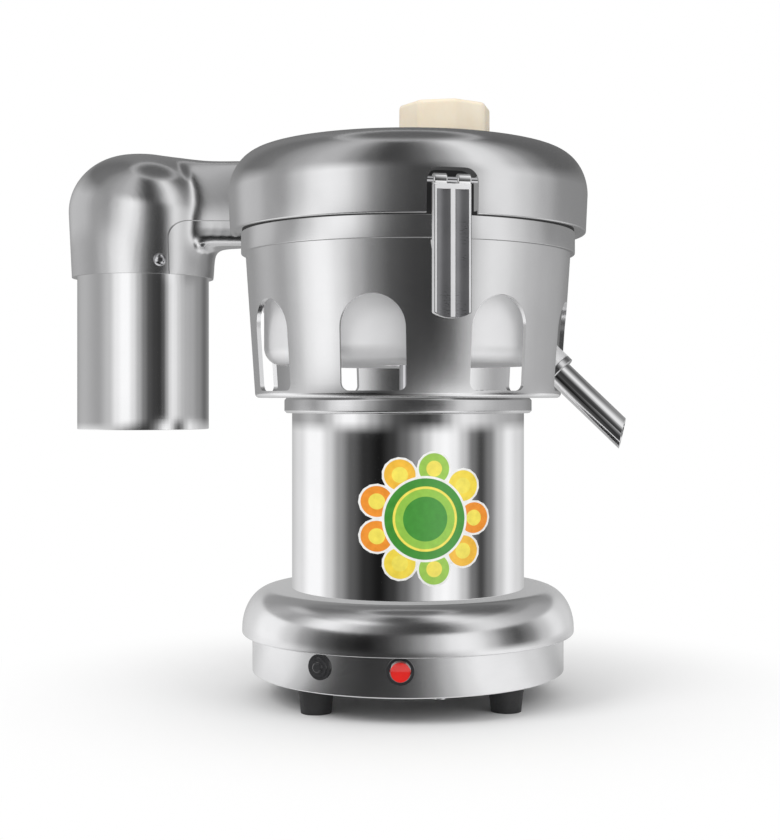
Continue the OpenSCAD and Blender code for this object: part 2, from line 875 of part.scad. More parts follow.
// Side outline of the duct, whose top eases down from the elbow to the lid
module duct_side(wall) {
    fall = elbow_top - duct_end_z;
    run = duct_slope_share * (elbow_x - duct_end_r);
    low = skirt_z - over;
    polygon(concat(
        [for (i = [0:8]) [run * i / 8 - elbow_x, elbow_top - wall - fall * (1 - cos(180 * i / 8)) / 2]],
        [[-duct_end_r, duct_end_z - wall], [-duct_end_r, low], [-elbow_x, low]]));
}

// Solid of the duct from the elbow's axis to the bowl, shrunk by a wall
module duct_solid(wall) {
    intersection() {
        translate([-elbow_x, 0, 0])
            along_x(elbow_x - duct_end_r)
                duct_section(wall);
        across_y(2 * duct_half_w)
            duct_side(wall);
    }
}

// Solid of revolution of the elbow and its skirt, shrunk by a wall
module elbow_solid(wall) {
    low = skirt_z - (wall > 0 ? over : 0);
    translate([-elbow_x, 0, 0])
        rotate_extrude() polygon(concat(
            [[0, low], [skirt_r - wall, low], [skirt_r - wall, skirt_z]],
            arc(elbow_flat_r, elbow_shoulder_z, elbow_r - wall - elbow_flat_r, elbow_dome_h - wall,
                0, 90, 12),
            [[0, elbow_top - wall]]));
}

// Outline in the XZ plane of the part of the duct and skirt that belongs to
// the bowl, drawn in by a gap at its seam with the hood
module trough_outline(gap) {
    x = seam_x - elbow_x + gap;
    top = seam_z - gap;
    low = skirt_z - over;
    polygon(concat(
        [[x, low], [-duct_end_r, low], [-duct_end_r, top]],
        arc(x + seam_r, top - seam_r, seam_r, seam_r, 90, 180, 6)));
}

// Rounded bottom corner of the bowl, drawn in by a wall
function bowl_corner(wall) = let (r = bowl_corner_r - wall)
    arc(bowl_r - bowl_corner_r, bowl_z + bowl_corner_r, r, r, -90, 0, 8);

// Juice bowl with its rim band, shaft chimney, spout boss and pulp trough
module juice_bowl() {
    in_r = bowl_r - bowl_wall;
    hollow = concat([[chimney_r, bowl_z + bowl_wall]], bowl_corner(bowl_wall), [[in_r, band_z + flange_t]]);
    color([0.76, 0.76, 0.77]) difference() {
        union() {
            rotate_extrude() difference() {
                polygon(concat(
                    [[chimney_r - chimney_t, bowl_z]], bowl_corner(0),
                    [[bowl_r, band_z], [band_r, band_z], [band_r, rim_z], [band_r - band_t, rim_z],
                    [band_r - band_t, band_z + flange_t], [chimney_r - chimney_t, band_z + flange_t]]));
                polygon(concat(hollow, [[in_r, rim_z], [chimney_r, rim_z]]));
                translate([chimney_r - chimney_t - over, bowl_z + chimney_h])
                    square([chimney_t + 2 * over, bowl_depth]);
            }
            intersection() {
                difference() {
                    union() {
                        duct_solid(0);
                        elbow_solid(0);
                    }
                    cylinder(r = band_r - band_t, h = elbow_top);
                }
                across_y(2 * elbow_r)
                    trough_outline(seam_gap);
            }
            on_spout()
                translate([0, 0, -boss_back])
                    cylinder(r = spout_r + boss_wall, h = boss_back - boss_front);
        }
        duct_solid(elbow_wall);
        elbow_solid(elbow_wall);
        rotate_extrude()
            polygon(concat(hollow, [[chimney_r, band_z + flange_t]]));
        on_spout()
            translate([0, 0, -2 * boss_back])
                cylinder(r = spout_r + seat, h = 2 * boss_back);
    }
}

// Rubber ring between the rim band and the lid's ledge, open at the duct
module bowl_gasket() {
    color([0.1, 0.1, 0.1]) difference() {
        rotate_extrude()
            translate([band_r - gasket_in - gasket_w, rim_z])
                square([gasket_w, gasket_t]);
        translate([-lid_r, -duct_half_w - clear, rim_z - over])
            cube([lid_r - duct_end_r, 2 * (duct_half_w + clear), gasket_t + 2 * over]);
    }
}

// Juice spout: a straight tube out through a window, its end cut upright
module juice_spout() {
    color([0.85, 0.85, 0.87]) difference() {
        on_spout() difference() {
            translate([0, 0, -spout_in])
                cylinder(r = spout_r, h = spout_in + spout_l + spout_r);
            translate([0, 0, -spout_in - over])
                cylinder(r = spout_bore_r, h = spout_in + spout_l + 2 * spout_r);
        }
        on_spout()
            translate([0, 0, spout_l])
                rotate([0, spout_cut - spout_fall, 0])
                    translate([-2 * spout_r, -2 * spout_r, 0])
                        cube([4 * spout_r, 4 * spout_r, 4 * spout_r]);
    }
}

// Round nut that clamps the spout to the bowl's boss
module spout_nut() {
    color([0.75, 0.75, 0.77]) on_spout() translate([0, 0, -boss_front]) difference() {
        cylinder(r = spout_r + spout_nut_w, h = spout_nut_t);
        translate([0, 0, -over])
            cylinder(r = spout_r + seat, h = spout_nut_t + 2 * over);
    }
}

// Lip seal in the bowl's chimney round the shaft
module shaft_seal() {
    color([0.12, 0.12, 0.12])
        translate([0, 0, bowl_z + chimney_h - seal_t - seal_gap])
            difference() {
                cylinder(r = chimney_r - chimney_t - seat, h = seal_t);
                translate([0, 0, -over])
                    cylinder(r = shaft_r + running, h = seal_t + 2 * over);
            }
}

// Switch housing: a round bezel with a well for the rocker
module switch_bezel() {
    color([0.07, 0.07, 0.08]) outward(switch_az)
        translate([base_wall_r - seat_flat, 0, control_z]) difference() {
            union() {
                rotate([0, 90, 0])
                    cylinder(r = bezel_r, h = bezel_t);
                translate([-switch_body_l, 0, 0]) rotate([0, 90, 0])
                    cylinder(r = switch_barrel_r, h = switch_body_l + over);
            }
            translate([bezel_t - bezel_depth, 0, 0]) rotate([0, 90, 0])
                cylinder(r = bezel_bore_r, h = bezel_depth + over);
            translate([-rocker_pivot, 0, 0]) rotate([90, 0, 0])
                cylinder(r = rocker_stub_r + running, h = 2 * (rocker_r + rocker_stub_l), center = true);
        }
}

// Ring nut behind the base's wall, by the barrel that it turns on
module control_nut(az, r) {
    outward(az) translate([base_wall_r - base_wall - control_nut_gap - control_nut_t, 0, control_z])
        rotate([0, 90, 0]) difference() {
            cylinder(r = r + control_nut_w, h = control_nut_t);
            translate([0, 0, -over])
                cylinder(r = r + seat, h = control_nut_t + 2 * over);
        }
}

module switch_nut() {
    color([0.1, 0.1, 0.1])
        control_nut(switch_az, switch_barrel_r);
}

// Overload breaker: barrel, round face and a raised step
module reset_body() {
    color([0.07, 0.07, 0.08]) outward(reset_az)
        translate([base_wall_r - seat_flat, 0, control_z]) rotate([0, 90, 0]) difference() {
            union() {
                cylinder(r = reset_r, h = reset_flange_t);
                cylinder(r = reset_step_r, h = reset_flange_t + reset_step_t);
                translate([0, 0, -reset_body_l])
                    cylinder(r = reset_barrel_r, h = reset_body_l + over);
            }
            translate([0, 0, reset_flange_t + reset_proud - reset_button_l - reset_collar_t - reset_travel])
                cylinder(r = reset_button_r + running, h = reset_button_l + reset_collar_t + reset_travel);
            translate([0, 0, reset_flange_t + reset_proud - reset_button_l - reset_travel])
                cylinder(r = reset_collar_r + running, h = reset_collar_t + reset_travel + running);
        }
}

module reset_nut() {
    color([0.1, 0.1, 0.1])
        control_nut(reset_az, reset_barrel_r);
}

// Thin sticker wrapped on the motor shell: a disc in a ring of lobes
module front_sticker() {
    color([0.95, 0.85, 0.2]) intersection() {
        translate([0, 0, base_top])
            difference() {
                cylinder(r = motor_r + seat + sticker_t, h = motor_h);
                translate([0, 0, -over])
                    cylinder(r = motor_r + seat, h = motor_h + 2 * over);
            }
        outward(sticker_az)
            translate([0, 0, base_top + sticker_h])
                along_x(motor_r + over) {
                    circle(r = sticker_r);
                    for (i = [0:lobe_count - 1]) rotate(i * 360 / lobe_count)
                        translate([lobe_ring_share * sticker_r, 0])
                            circle(r = lobe_r);
                }
    }
}

// Outside radius of the lid's side at a height above its rim
function lid_side_r(h) = lid_rim_r + (lid_r - lid_rim_r) * h / lid_side_h;

// Outer or inner outline of the lid's shell
function lid_outline(wall) = concat(
    [[0, rim_z - (wall > 0 ? over : 0)], [lid_rim_r - wall, rim_z - (wall > 0 ? over : 0)]],
    arc(lid_r - lid_shoulder_w, belly_z, lid_shoulder_w - wall, lid_shoulder_h - wall, 0, 90, 12),
    [[lid_flat_r, crown_z - wall], [0, crown_z - wall]]);

// Outline of the latch's recess in the lid, grown by a wall
module recess_outline(wall) {
    half = recess_w / 2 + wall;
    r = recess_r + wall;
    top = recess_h + wall;
    translate([-half, -over])
        square([2 * half, top - r + over]);
    translate([r - half, 0])
        square([2 * (half - r), top]);
    for (side = [-1, 1])
        translate([side * (half - r), top - r])
            circle(r = r);
}

module both_latches() {
    for (turn = [0, 180]) outward(latch_az + turn)
        children();
}

// Lid casting: pan with a ledge, two latch recesses, and the hood of the
// pulp duct that swells into the elbow over the pulp tube
module lid() {
    cut_half = duct_half_w + clear;
    color([0.74, 0.74, 0.75]) difference() {
        union() {
            difference() {
                union() {
                    rotate_extrude()
                        polygon(lid_outline(0));
                    duct_solid(0);
                    elbow_solid(0);
                }
                rotate_extrude()
                    polygon(lid_outline(lid_wall));
                duct_solid(elbow_wall);
                elbow_solid(elbow_wall);
            }
            rotate_extrude()
                polygon([[lid_rim_r - lid_wall - ledge_w, rim_z + gasket_t],
                    [lid_side_r(gasket_t) - lid_wall / 2, rim_z + gasket_t],
                    [lid_side_r(gasket_t + ledge_t) - lid_wall / 2, rim_z + gasket_t + ledge_t],
                    [lid_rim_r - lid_wall - ledge_w, rim_z + gasket_t + ledge_t]]);
            intersection() {
                rotate_extrude()
                    polygon(lid_outline(lid_wall / 2));
                both_latches()
                    translate([recess_x - recess_wall, 0, rim_z])
                        along_x(recess_l)
                            recess_outline(recess_wall);
            }
        }
        both_latches() {
            translate([recess_x, 0, rim_z])
                along_x(recess_l + over)
                    recess_outline(0);
            translate([recess_x - recess_wall - over, -recess_w / 2 - recess_wall - over, rim_z - over])
                cube([band_r + clear - recess_x + recess_wall + over, recess_w + 2 * (recess_wall + over),
                    over + gasket_t]);
            translate([pin_x, 0, pin_z]) rotate([90, 0, 0])
                cylinder(r = latch_pin_r + seat, h = recess_w + 2 * pin_end, center = true);
        }
        across_y(2 * cut_half)
            trough_outline(0);
        translate([throat_x, 0, crown_z - lid_wall - over])
            octagon(throat_w + clear, lid_wall + 2 * over);
        for (turn = tube_screw_turns) tube_screw_place(turn)
            translate([0, 0, -elbow_wall - 2 * over])
                cylinder(r = tube_screw_r + bolt_clear, h = elbow_wall + 3 * over);
    }
}

// Eight-sided feed tube with a flange that rests on the lid's crown
module feed_throat() {
    color([0.8, 0.8, 0.81]) translate([throat_x, 0, 0]) difference() {
        union() {
            translate([0, 0, throat_z])
                octagon(throat_w, throat_top - throat_z);
            translate([0, 0, crown_z])
                octagon(throat_flange_w, throat_flange_t);
        }
        translate([0, 0, throat_z - over])
            octagon(throat_bore, throat_top - throat_z + 2 * over);
    }
}

// Puts a piece on the skirt's outside, with +Z pointing out of it
module tube_screw_place(turn) {
    translate([-elbow_x, 0, skirt_z + tube_screw_h])
        rotate([0, 0, turn])
            translate([tube_screw_x, 0, 0])
                rotate([0, 90, 0])
                    children();
}

// Polished pulp tube, bored for the screws that hang it in the skirt
module pulp_tube() {
    color([0.85, 0.85, 0.87]) difference() {
        translate([-elbow_x, 0, tube_bottom])
            cylinder(r = tube_r, h = tube_l);
        translate([-elbow_x, 0, tube_bottom - over])
            cylinder(r = tube_r - tube_wall, h = tube_l + 2 * over);
        for (turn = tube_screw_turns) tube_screw_place(turn)
            translate([0, 0, tube_r - tube_wall - tube_screw_x - over])
                cylinder(r = tube_screw_r + bolt_clear, h = tube_wall + 2 * over);
    }
}

// Dome-headed screws through the skirt into the pulp tube
module tube_screws() {
    shank = tube_screw_x - tube_r + tube_wall + over;
    color([0.85, 0.85, 0.87]) for (turn = tube_screw_turns) tube_screw_place(turn) {
        translate([0, 0, -shank])
            cylinder(r = tube_screw_r, h = shank + over);
        rotate_extrude() polygon(concat(
            [[0, 0]], arc(0, 0, tube_screw_head_r, tube_screw_head_h, 0, 90, 8)));
    }
}

// Hinge pins of the two latches, held in the sides of their recesses
module latch_pins() {
    color([0.75, 0.75, 0.77]) both_latches()
        translate([pin_x, 0, pin_z]) rotate([90, 0, 0])
            cylinder(r = latch_pin_r, h = recess_w + 2 * (pin_end - seat), center = true);
}

// Pusher: an eight-sided head that rests on the throat, over a plain stem
module pusher() {
    color([0.93, 0.88, 0.8]) translate([throat_x, 0, throat_top]) {
        eased_octagon(pusher_w, pusher_h, pusher_edge);
        mirror([0, 0, 1]) translate([0, 0, -over])
            eased_octagon(throat_bore - 2 * stem_clear, stem_l + over, pusher_edge);
    }
}

// An eight-sided bar with a bevel round its top face
module eased_octagon(w, h, edge) {
    half = w / 2;
    intersection_for(turn = [0:3]) rotate([0, 0, 45 * turn])
        across_y(2 * w) polygon([
            [-half, 0], [half, 0], [half, h - edge], [half - edge, h], [edge - half, h], [-half, h - edge]]);
}

// Latch handle: a ribbed bar that hangs from two knuckles, with a hook that
// reaches under the rim band
module latch_handle(az) {
    hook_z = band_z - hook_gap;
    tip_x = band_r - hook_reach;
    color([0.7, 0.7, 0.71]) outward(az) difference() {
        union() {
            across_y(latch_w) polygon([
                [handle_in_x, handle_z + handle_tip], [handle_in_x + handle_tip, handle_z],
                [handle_out_x, handle_z], [handle_out_x, pin_z], [handle_in_x, pin_z]]);
            across_y(latch_w) polygon([
                [tip_x, hook_z], [tip_x, hook_z - hook_h + hook_slope],
                [handle_in_x + seat, hook_z - 2 * hook_h], [handle_in_x + seat, hook_z]]);
            for (side = [-1, 1])
                translate([pin_x, side * (latch_w - knuckle_l) / 2, pin_z])
                    rotate([90, 0, 0])
                        cylinder(r = knuckle_r, h = knuckle_l, center = true);
            translate([handle_out_x - seat, -rib_w / 2, handle_z])
                cube([rib_t + seat, rib_w, latch_l - knuckle_r]);
            for (side = [-1, 1])
                translate([handle_out_x - seat, side * (latch_w - edge_rib_w) / 2 - edge_rib_w / 2, handle_z])
                    cube([rib_t + seat, edge_rib_w, latch_l - knuckle_r]);
        }
        translate([pin_x, 0, pin_z]) rotate([90, 0, 0])
            cylinder(r = latch_pin_r + running, h = latch_w + 2 * over, center = true);
        translate([handle_in_x - over, knuckle_l - latch_w / 2, pin_z - knuckle_r - clear])
            cube([latch_t + rib_t + 2 * over, latch_w - 2 * knuckle_l, 2 * knuckle_r + over]);
    }
}

module front_latch_handle() {
    latch_handle(latch_az);
}

module rear_latch_handle() {
    latch_handle(latch_az + 180);
}

// Motor shaft from the fan up to the lock nut
module motor_shaft() {
    foot_z = base_top - shaft_drop;
    color([0.8, 0.8, 0.82]) translate([0, 0, foot_z]) {
        cylinder(r = shaft_r, h = shaft_top - foot_z);
    }
}

module rotor_core() {
    color([0.45, 0.45, 0.47]) translate([0, 0, stator_z]) difference() {
        cylinder(r = rotor_r, h = stator_h);
        translate([0, 0, -over])
            cylinder(r = shaft_r + seat, h = stator_h + 2 * over);
    }
}

// Fan below the motor: a hub, a plate and straight radial blades
module cooling_fan() {
    color([0.15, 0.15, 0.16]) translate([0, 0, fan_top - fan_h]) difference() {
        union() {
            cylinder(r = fan_hub_r, h = fan_h);
            translate([0, 0, fan_h - fan_plate_t])
                cylinder(r = fan_blade_share * fan_r, h = fan_plate_t);
            for (i = [0:fan_blades - 1]) rotate([0, 0, i * 360 / fan_blades])
                translate([fan_hub_r - over, -fan_blade_t / 2, fan_plate_t / 2])
                    cube([fan_r - fan_hub_r, fan_blade_t, fan_h - fan_plate_t]);
        }
        translate([0, 0, -over])
            cylinder(r = shaft_r + seat, h = fan_h + 2 * over);
    }
}

// Hub that carries the basket and the grater on the shaft
module drive_hub() {
    color([0.78, 0.78, 0.8]) translate([0, 0, hub_z]) difference() {
        union() {
            cylinder(r = hub_r, h = hub_t);
            cylinder(r = basket_way_r - seat, h = hub_t + basket_floor_t);
        }
        translate([0, 0, -over])
            cylinder(r = shaft_r + seat, h = hub_t + basket_floor_t + 2 * over);
    }
}

// Strainer basket: a flat floor and a flared wall with rows of slots
module strainer_basket() {
    top_z = basket_z + basket_h;
    low_cut = basket_z + slot_low_share * basket_h;
    high_cut = basket_z + slot_high_share * basket_h;
    color([0.82, 0.82, 0.84]) difference() {
        rotate_extrude() polygon([
            [basket_way_r, basket_z], [basket_bottom_r, basket_z],
            [basket_top_r + basket_wall, top_z], [basket_top_r, top_z],
            [basket_bottom_r - basket_wall, basket_z + basket_floor_t],
            [basket_way_r, basket_z + basket_floor_t]]);
        for (i = [0:slot_count - 1]) rotate([0, 0, i * 360 / slot_count])
            translate([grater_r + over, -slot_w / 2, low_cut])
                cube([basket_top_r - grater_r + 2 * over, slot_w, high_cut - low_cut]);
    }
}

// Rolled rim that stiffens the basket's top
module basket_rim() {
    top_z = basket_z + basket_h;
    color([0.82, 0.82, 0.84]) rotate_extrude() polygon([
        [basket_top_r, top_z], [basket_top_r + basket_rim_w, top_z],
        [basket_top_r + basket_rim_w, top_z + rim_bead_h / 2],
        [basket_top_r + basket_rim_w - rim_bead_h / 2, top_z + rim_bead_h],
        [basket_top_r, top_z + rim_bead_h / 2]]);
}

// Grater disc with spiral rows of raised, slanted teeth
module grater_disc() {
    step = (grater_r - tooth_first_r - tooth_l) / tooth_per_row;
    color([0.8, 0.8, 0.82]) difference() {
        union() {
            translate([0, 0, grater_z])
                cylinder(r = grater_r, h = grater_t);
            for (row = [0:tooth_rows - 1], i = [0:tooth_per_row - 1])
                rotate([0, 0, row * 360 / tooth_rows + i * tooth_turn])
                    translate([tooth_first_r + (i + 0.5) * step, 0, grater_top])
                        rotate([90, 0, 0])
                            linear_extrude(tooth_w, center = true)
                                polygon([
                                    [-tooth_l / 2, -seat], [tooth_l / 2, -seat], [tooth_l / 2, tooth_h]]);
        }
        translate([0, 0, grater_z - over])
            cylinder(r = shaft_r + seat, h = grater_t + 2 * over);
    }
}

// Hexagonal nut that locks the disc and the basket to the shaft
module lock_nut() {
    color([0.75, 0.75, 0.77]) translate([0, 0, grater_top]) difference() {
        cylinder(r = lock_nut_r, h = lock_nut_h, $fn = 6);
        translate([0, 0, -over])
            cylinder(r = shaft_r + seat, h = lock_nut_h + 2 * over);
    }
}

// Red rocker: a rounded block with two slanted faces on two small stubs
module switch_rocker() {
    color([0.8, 0.08, 0.06]) outward(switch_az)
        translate([base_wall_r - seat_flat - rocker_pivot, 0, control_z]) rotate([0, rocker_tilt, 0]) {
            intersection() {
                translate([-rocker_back, 0, 0]) rotate([0, 90, 0])
                    cylinder(r = rocker_r, h = rocker_back + 2 * rocker_front);
                across_y(2 * rocker_r) polygon([
                    [-rocker_back, -rocker_r], [rocker_front + rocker_r * sin(2 * rocker_tilt), -rocker_r],
                    [rocker_front, 0], [rocker_front + rocker_r * sin(2 * rocker_tilt), rocker_r],
                    [-rocker_back, rocker_r]]);
            }
            rotate([90, 0, 0])
                cylinder(r = rocker_stub_r, h = 2 * (rocker_r + rocker_stub_l - running), center = true);
        }
}

// Reset button: a domed pin with a collar that keeps it in the barrel
module reset_button() {
    color([0.1, 0.1, 0.1]) outward(reset_az)
        translate([base_wall_r - seat_flat + reset_flange_t + reset_proud - reset_button_l, 0, control_z])
            rotate([0, 90, 0]) {
                cylinder(r = reset_button_r, h = reset_button_l - reset_step_t);
                translate([0, 0, reset_button_l - reset_step_t])
                    cylinder(r1 = reset_button_r, r2 = reset_button_r - reset_step_t, h = reset_step_t);
                cylinder(r = reset_collar_r, h = reset_collar_t);
            }
}

base_casting();
base_plate();
base_plate_screws();
feet();
foot_screws();
cord_gland();
motor_shell();
neck_ring();
lower_end_shield();
upper_end_shield();
stator_core();
stator_windings();
through_bolts();
lower_bearing();
upper_bearing();
run_capacitor();
capacitor_clamp();
terminal_block();
shroud();
shroud_screws();
juice_bowl();
bowl_gasket();
juice_spout();
spout_nut();
shaft_seal();
switch_bezel();
switch_nut();
reset_body();
reset_nut();
front_sticker();
lid();
feed_throat();
pulp_tube();
tube_screws();
latch_pins();
pusher();
front_latch_handle();
rear_latch_handle();
motor_shaft();
rotor_core();
cooling_fan();
drive_hub();
strainer_basket();
basket_rim();
grater_disc();
lock_nut();
switch_rocker();
reset_button();
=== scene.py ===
import math

import bpy
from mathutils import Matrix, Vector


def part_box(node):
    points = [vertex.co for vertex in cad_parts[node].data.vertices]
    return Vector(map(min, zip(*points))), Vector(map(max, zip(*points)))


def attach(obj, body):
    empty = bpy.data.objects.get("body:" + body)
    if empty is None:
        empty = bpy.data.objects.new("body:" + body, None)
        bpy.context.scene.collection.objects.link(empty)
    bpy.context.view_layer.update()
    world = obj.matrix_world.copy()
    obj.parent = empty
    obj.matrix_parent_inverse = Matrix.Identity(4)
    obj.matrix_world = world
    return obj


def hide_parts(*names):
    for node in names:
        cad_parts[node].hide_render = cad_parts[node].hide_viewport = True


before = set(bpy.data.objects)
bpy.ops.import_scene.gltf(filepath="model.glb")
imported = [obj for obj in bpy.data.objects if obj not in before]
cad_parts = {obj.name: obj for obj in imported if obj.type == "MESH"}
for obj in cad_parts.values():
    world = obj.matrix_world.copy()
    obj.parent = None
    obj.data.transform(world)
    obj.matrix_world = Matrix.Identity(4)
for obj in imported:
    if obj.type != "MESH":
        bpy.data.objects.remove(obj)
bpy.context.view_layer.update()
scene = bpy.context.scene
scene.view_settings.view_transform = "Standard"


# Camera: level with the neck ring, a metre away and a little to the right of
# the front, framed as the photograph is.
view_azimuth = math.radians(12)
view_distance = 1.0
eye_height = 0.204
nearest_seen = 0.01
image_height_px = 840
focal_px = 1432
axis_left_of_middle_px = -18
horizon_above_middle_px = 20
sensor_mm = 36

camera_data = bpy.data.cameras.new("camera")
camera_data.sensor_fit = "VERTICAL"
camera_data.sensor_height = sensor_mm
camera_data.lens = focal_px / image_height_px * sensor_mm
camera_data.shift_x = axis_left_of_middle_px / image_height_px
camera_data.shift_y = -horizon_above_middle_px / image_height_px
camera_data.clip_start = nearest_seen
camera = bpy.data.objects.new("camera", camera_data)
camera.location = (view_distance * math.sin(view_azimuth), -view_distance * math.cos(view_azimuth),
    eye_height)
camera.rotation_euler = (math.pi / 2, 0, view_azimuth)
scene.collection.objects.link(camera)
scene.camera = camera


# Room: a white surrounding that the camera and the metal see, and a softer
# white that lights the object.
room_light = 0.8
white_light = 1.0
pure_white = (1, 1, 1, 1)

world = bpy.data.worlds.new("room")
scene.world = world
world.use_nodes = True
world.node_tree.nodes.clear()


def add_node(tree, kind, inputs=None, **settings):
    """A shader node with its settings and inputs: a value for a socket, or another node's output."""
    node = tree.nodes.new(kind)
    for key, value in settings.items():
        setattr(node, key, value)
    for key, value in (inputs or {}).items():
        if isinstance(value, bpy.types.NodeSocket):
            tree.links.new(value, node.inputs[key])
        else:
            node.inputs[key].default_value = value
    return node


def reckon(tree, how, first, second=0.0):
    """The outcome of one sum on two values, each a number or another node's output."""
    return add_node(tree, "ShaderNodeMath", {0: first, 1: second}, operation=how).outputs[0]


def seen_directly(tree):
    """One for rays from the camera, off glossy surfaces or through clear ones, or else nought."""
    path = add_node(tree, "ShaderNodeLightPath").outputs
    shiny = reckon(tree, "MAXIMUM", path["Is Camera Ray"], path["Is Glossy Ray"])
    return reckon(tree, "MAXIMUM", shiny, path["Is Transmission Ray"])


tree = world.node_tree
lamp_light = add_node(tree, "ShaderNodeBackground", {"Color": pure_white, "Strength": room_light})
white_wall = add_node(tree, "ShaderNodeBackground", {"Color": pure_white, "Strength": white_light})
room_mix = add_node(tree, "ShaderNodeMixShader",
    {0: seen_directly(tree), 1: lamp_light.outputs[0], 2: white_wall.outputs[0]})
add_node(tree, "ShaderNodeOutputWorld", {"Surface": room_mix.outputs[0]})


# Floor: a pale sheet that takes the object's shadow and fades into the white
# of the room away from it.
floor_size = 12
fade_start = 0.11
fade_end = 0.34
floor_grey = (0.9, 0.9, 0.9, 1)


def object_place(tree):
    """The place of a point on its own object, in metres."""
    return add_node(tree, "ShaderNodeTexCoord").outputs["Object"]


def reckon_way(tree, how, first, second=(0, 0, 0), outcome="Vector"):
    """The outcome of one sum on two places or directions, as a vector or a single value."""
    return add_node(tree, "ShaderNodeVectorMath", {0: first, 1: second}, operation=how).outputs[outcome]


def span(tree, value, low, high, source_low=0.3, source_high=0.7, easing="LINEAR"):
    """Spreads a value from one range over another. Unless told, it starts from the range that noise has."""
    return add_node(tree, "ShaderNodeMapRange", {"Value": value, "From Min": source_low,
        "From Max": source_high, "To Min": low, "To Max": high}, interpolation_type=easing).outputs["Result"]


def stage_material(name):
    """A material for a sheet of the stage, with no shader in it yet, and its tree."""
    paint = bpy.data.materials.new(name)
    paint.use_nodes = True
    paint.node_tree.nodes.clear()
    return paint, paint.node_tree


bpy.ops.object.select_all(action="DESELECT")
bpy.ops.mesh.primitive_plane_add(size=floor_size)
floor = bpy.context.object
floor.name = "floor"
floor_paint, tree = stage_material("floor_paper")
distance = reckon_way(tree, "LENGTH", object_place(tree), outcome="Value")
fade = span(tree, distance, 0, 1, fade_start, fade_end, "SMOOTHSTEP")
fade_seen = reckon(tree, "MULTIPLY", fade, seen_directly(tree))
paper = add_node(tree, "ShaderNodeBsdfDiffuse", {"Color": floor_grey})
white = add_node(tree, "ShaderNodeEmission", {"Color": pure_white, "Strength": white_light})
floor_mix = add_node(tree, "ShaderNodeMixShader", {0: fade_seen, 1: paper.outputs[0], 2: white.outputs[0]})
add_node(tree, "ShaderNodeOutputMaterial", {"Surface": floor_mix.outputs[0]})
floor.data.materials.append(floor_paint)


# Flags: graded dark sheets close round the object and above it, as a photographer of polished metal
# stands them. Only reflections show them. The stops are listed: an azimuth in degrees and how
# dark the sheet is there, for a row on the floor and four rows of cloth up the round wall.
flag_radius = 0.35
flag_low = 0.002
flag_high = 1.1
flag_foot_r = 0.135
flag_sides = 96
floor_stops = [(-180, 0.6), (-140, 0.45), (-115, 0.3), (-84, 0.06), (-64, 0.1), (-50, 0.4), (-38, 0.8),
    (-24, 0.93), (-8, 0.96), (6, 0.95), (15, 0.91), (24, 0.78), (34, 0.5), (44, 0.2), (54, 0.02), (72, 0.04),
    (95, 0.25), (118, 0.45), (140, 0.35), (180, 0.6)]
low_stops = [(-180, 0.5), (-140, 0.45), (-106, 0.25), (-88, 0), (-75, 0), (-62, 0.32), (-50, 0.68),
    (-38, 0.89), (-25, 0.97), (-12, 0.99), (-1, 0.96), (9, 0.87), (20, 0.67), (28, 0.38), (36, 0.08), (44, 0),
    (52, 0.1), (61, 0.44), (70, 0.82), (79, 0.94), (89, 0.8), (102, 0.42), (116, 0.12), (135, 0.3),
    (160, 0.45), (180, 0.5)]
middle_stops = [(-180, 0.85), (-145, 0.7), (-115, 0.68), (-88, 0.54), (-72, 0.64), (-61, 0.46), (-52, 0.14),
    (-44, 0), (-37, 0), (-28, 0.24), (-18, 0.56), (-8, 0.8), (3, 0.92), (15, 0.95), (27, 0.96), (37, 0.9),
    (46, 0.62), (54, 0.3), (62, 0.18), (70, 0.22), (80, 0.38), (92, 0.5), (104, 0.56), (122, 0.6),
    (150, 0.72), (180, 0.85)]
high_stops = [(-180, 0.78), (-145, 0.72), (-112, 0.68), (-92, 0.44), (-80, 0.46), (-68, 0.64), (-58, 0.68),
    (-48, 0.42), (-37, 0.1), (-28, 0), (-20, 0.06), (-12, 0.4), (-4, 0.76), (6, 0.9), (17, 0.94), (28, 0.94),
    (37, 0.8), (46, 0.48), (54, 0.18), (64, 0.16), (76, 0.34), (90, 0.54), (106, 0.72), (135, 0.74),
    (180, 0.78)]
top_stops = [(-180, 0.84), (-119, 0.78), (-98, 0.84), (-78, 0.82), (-64, 0.7), (-50, 0.6), (-38, 0.5),
    (-28, 0.5), (-18, 0.68), (-9, 0.88), (0, 0.95), (10, 0.94), (20, 0.88), (30, 0.7), (40, 0.4), (49, 0.14),
    (60, 0.2), (74, 0.5), (90, 0.78), (106, 0.88), (180, 0.84)]
wall_rows = [(0.003, 0.03, low_stops), (0.176, 0.186, middle_stops), (0.322, 0.335, high_stops),
    (0.4, 0.47, top_stops)]
overhead_height = 1.1
overhead_clear = 0.2
overhead_dark = 0.88


def stand_flag(flag, name, darkness):
    """Gives a flag its cloth, clear where its darkness is nought, and leaves it to reflections alone."""
    paint, tree = stage_material(name)
    black = add_node(tree, "ShaderNodeEmission", {"Color": (0, 0, 0, 1), "Strength": 0.0})
    clear = add_node(tree, "ShaderNodeBsdfTransparent")
    mix = add_node(tree, "ShaderNodeMixShader", {0: darkness(tree), 1: clear.outputs[0], 2: black.outputs[0]})
    add_node(tree, "ShaderNodeOutputMaterial", {"Surface": mix.outputs[0]})
    flag.data.materials.append(paint)
    flag.visible_camera = False
    flag.visible_diffuse = False
    flag.visible_shadow = False
    flag.visible_transmission = False


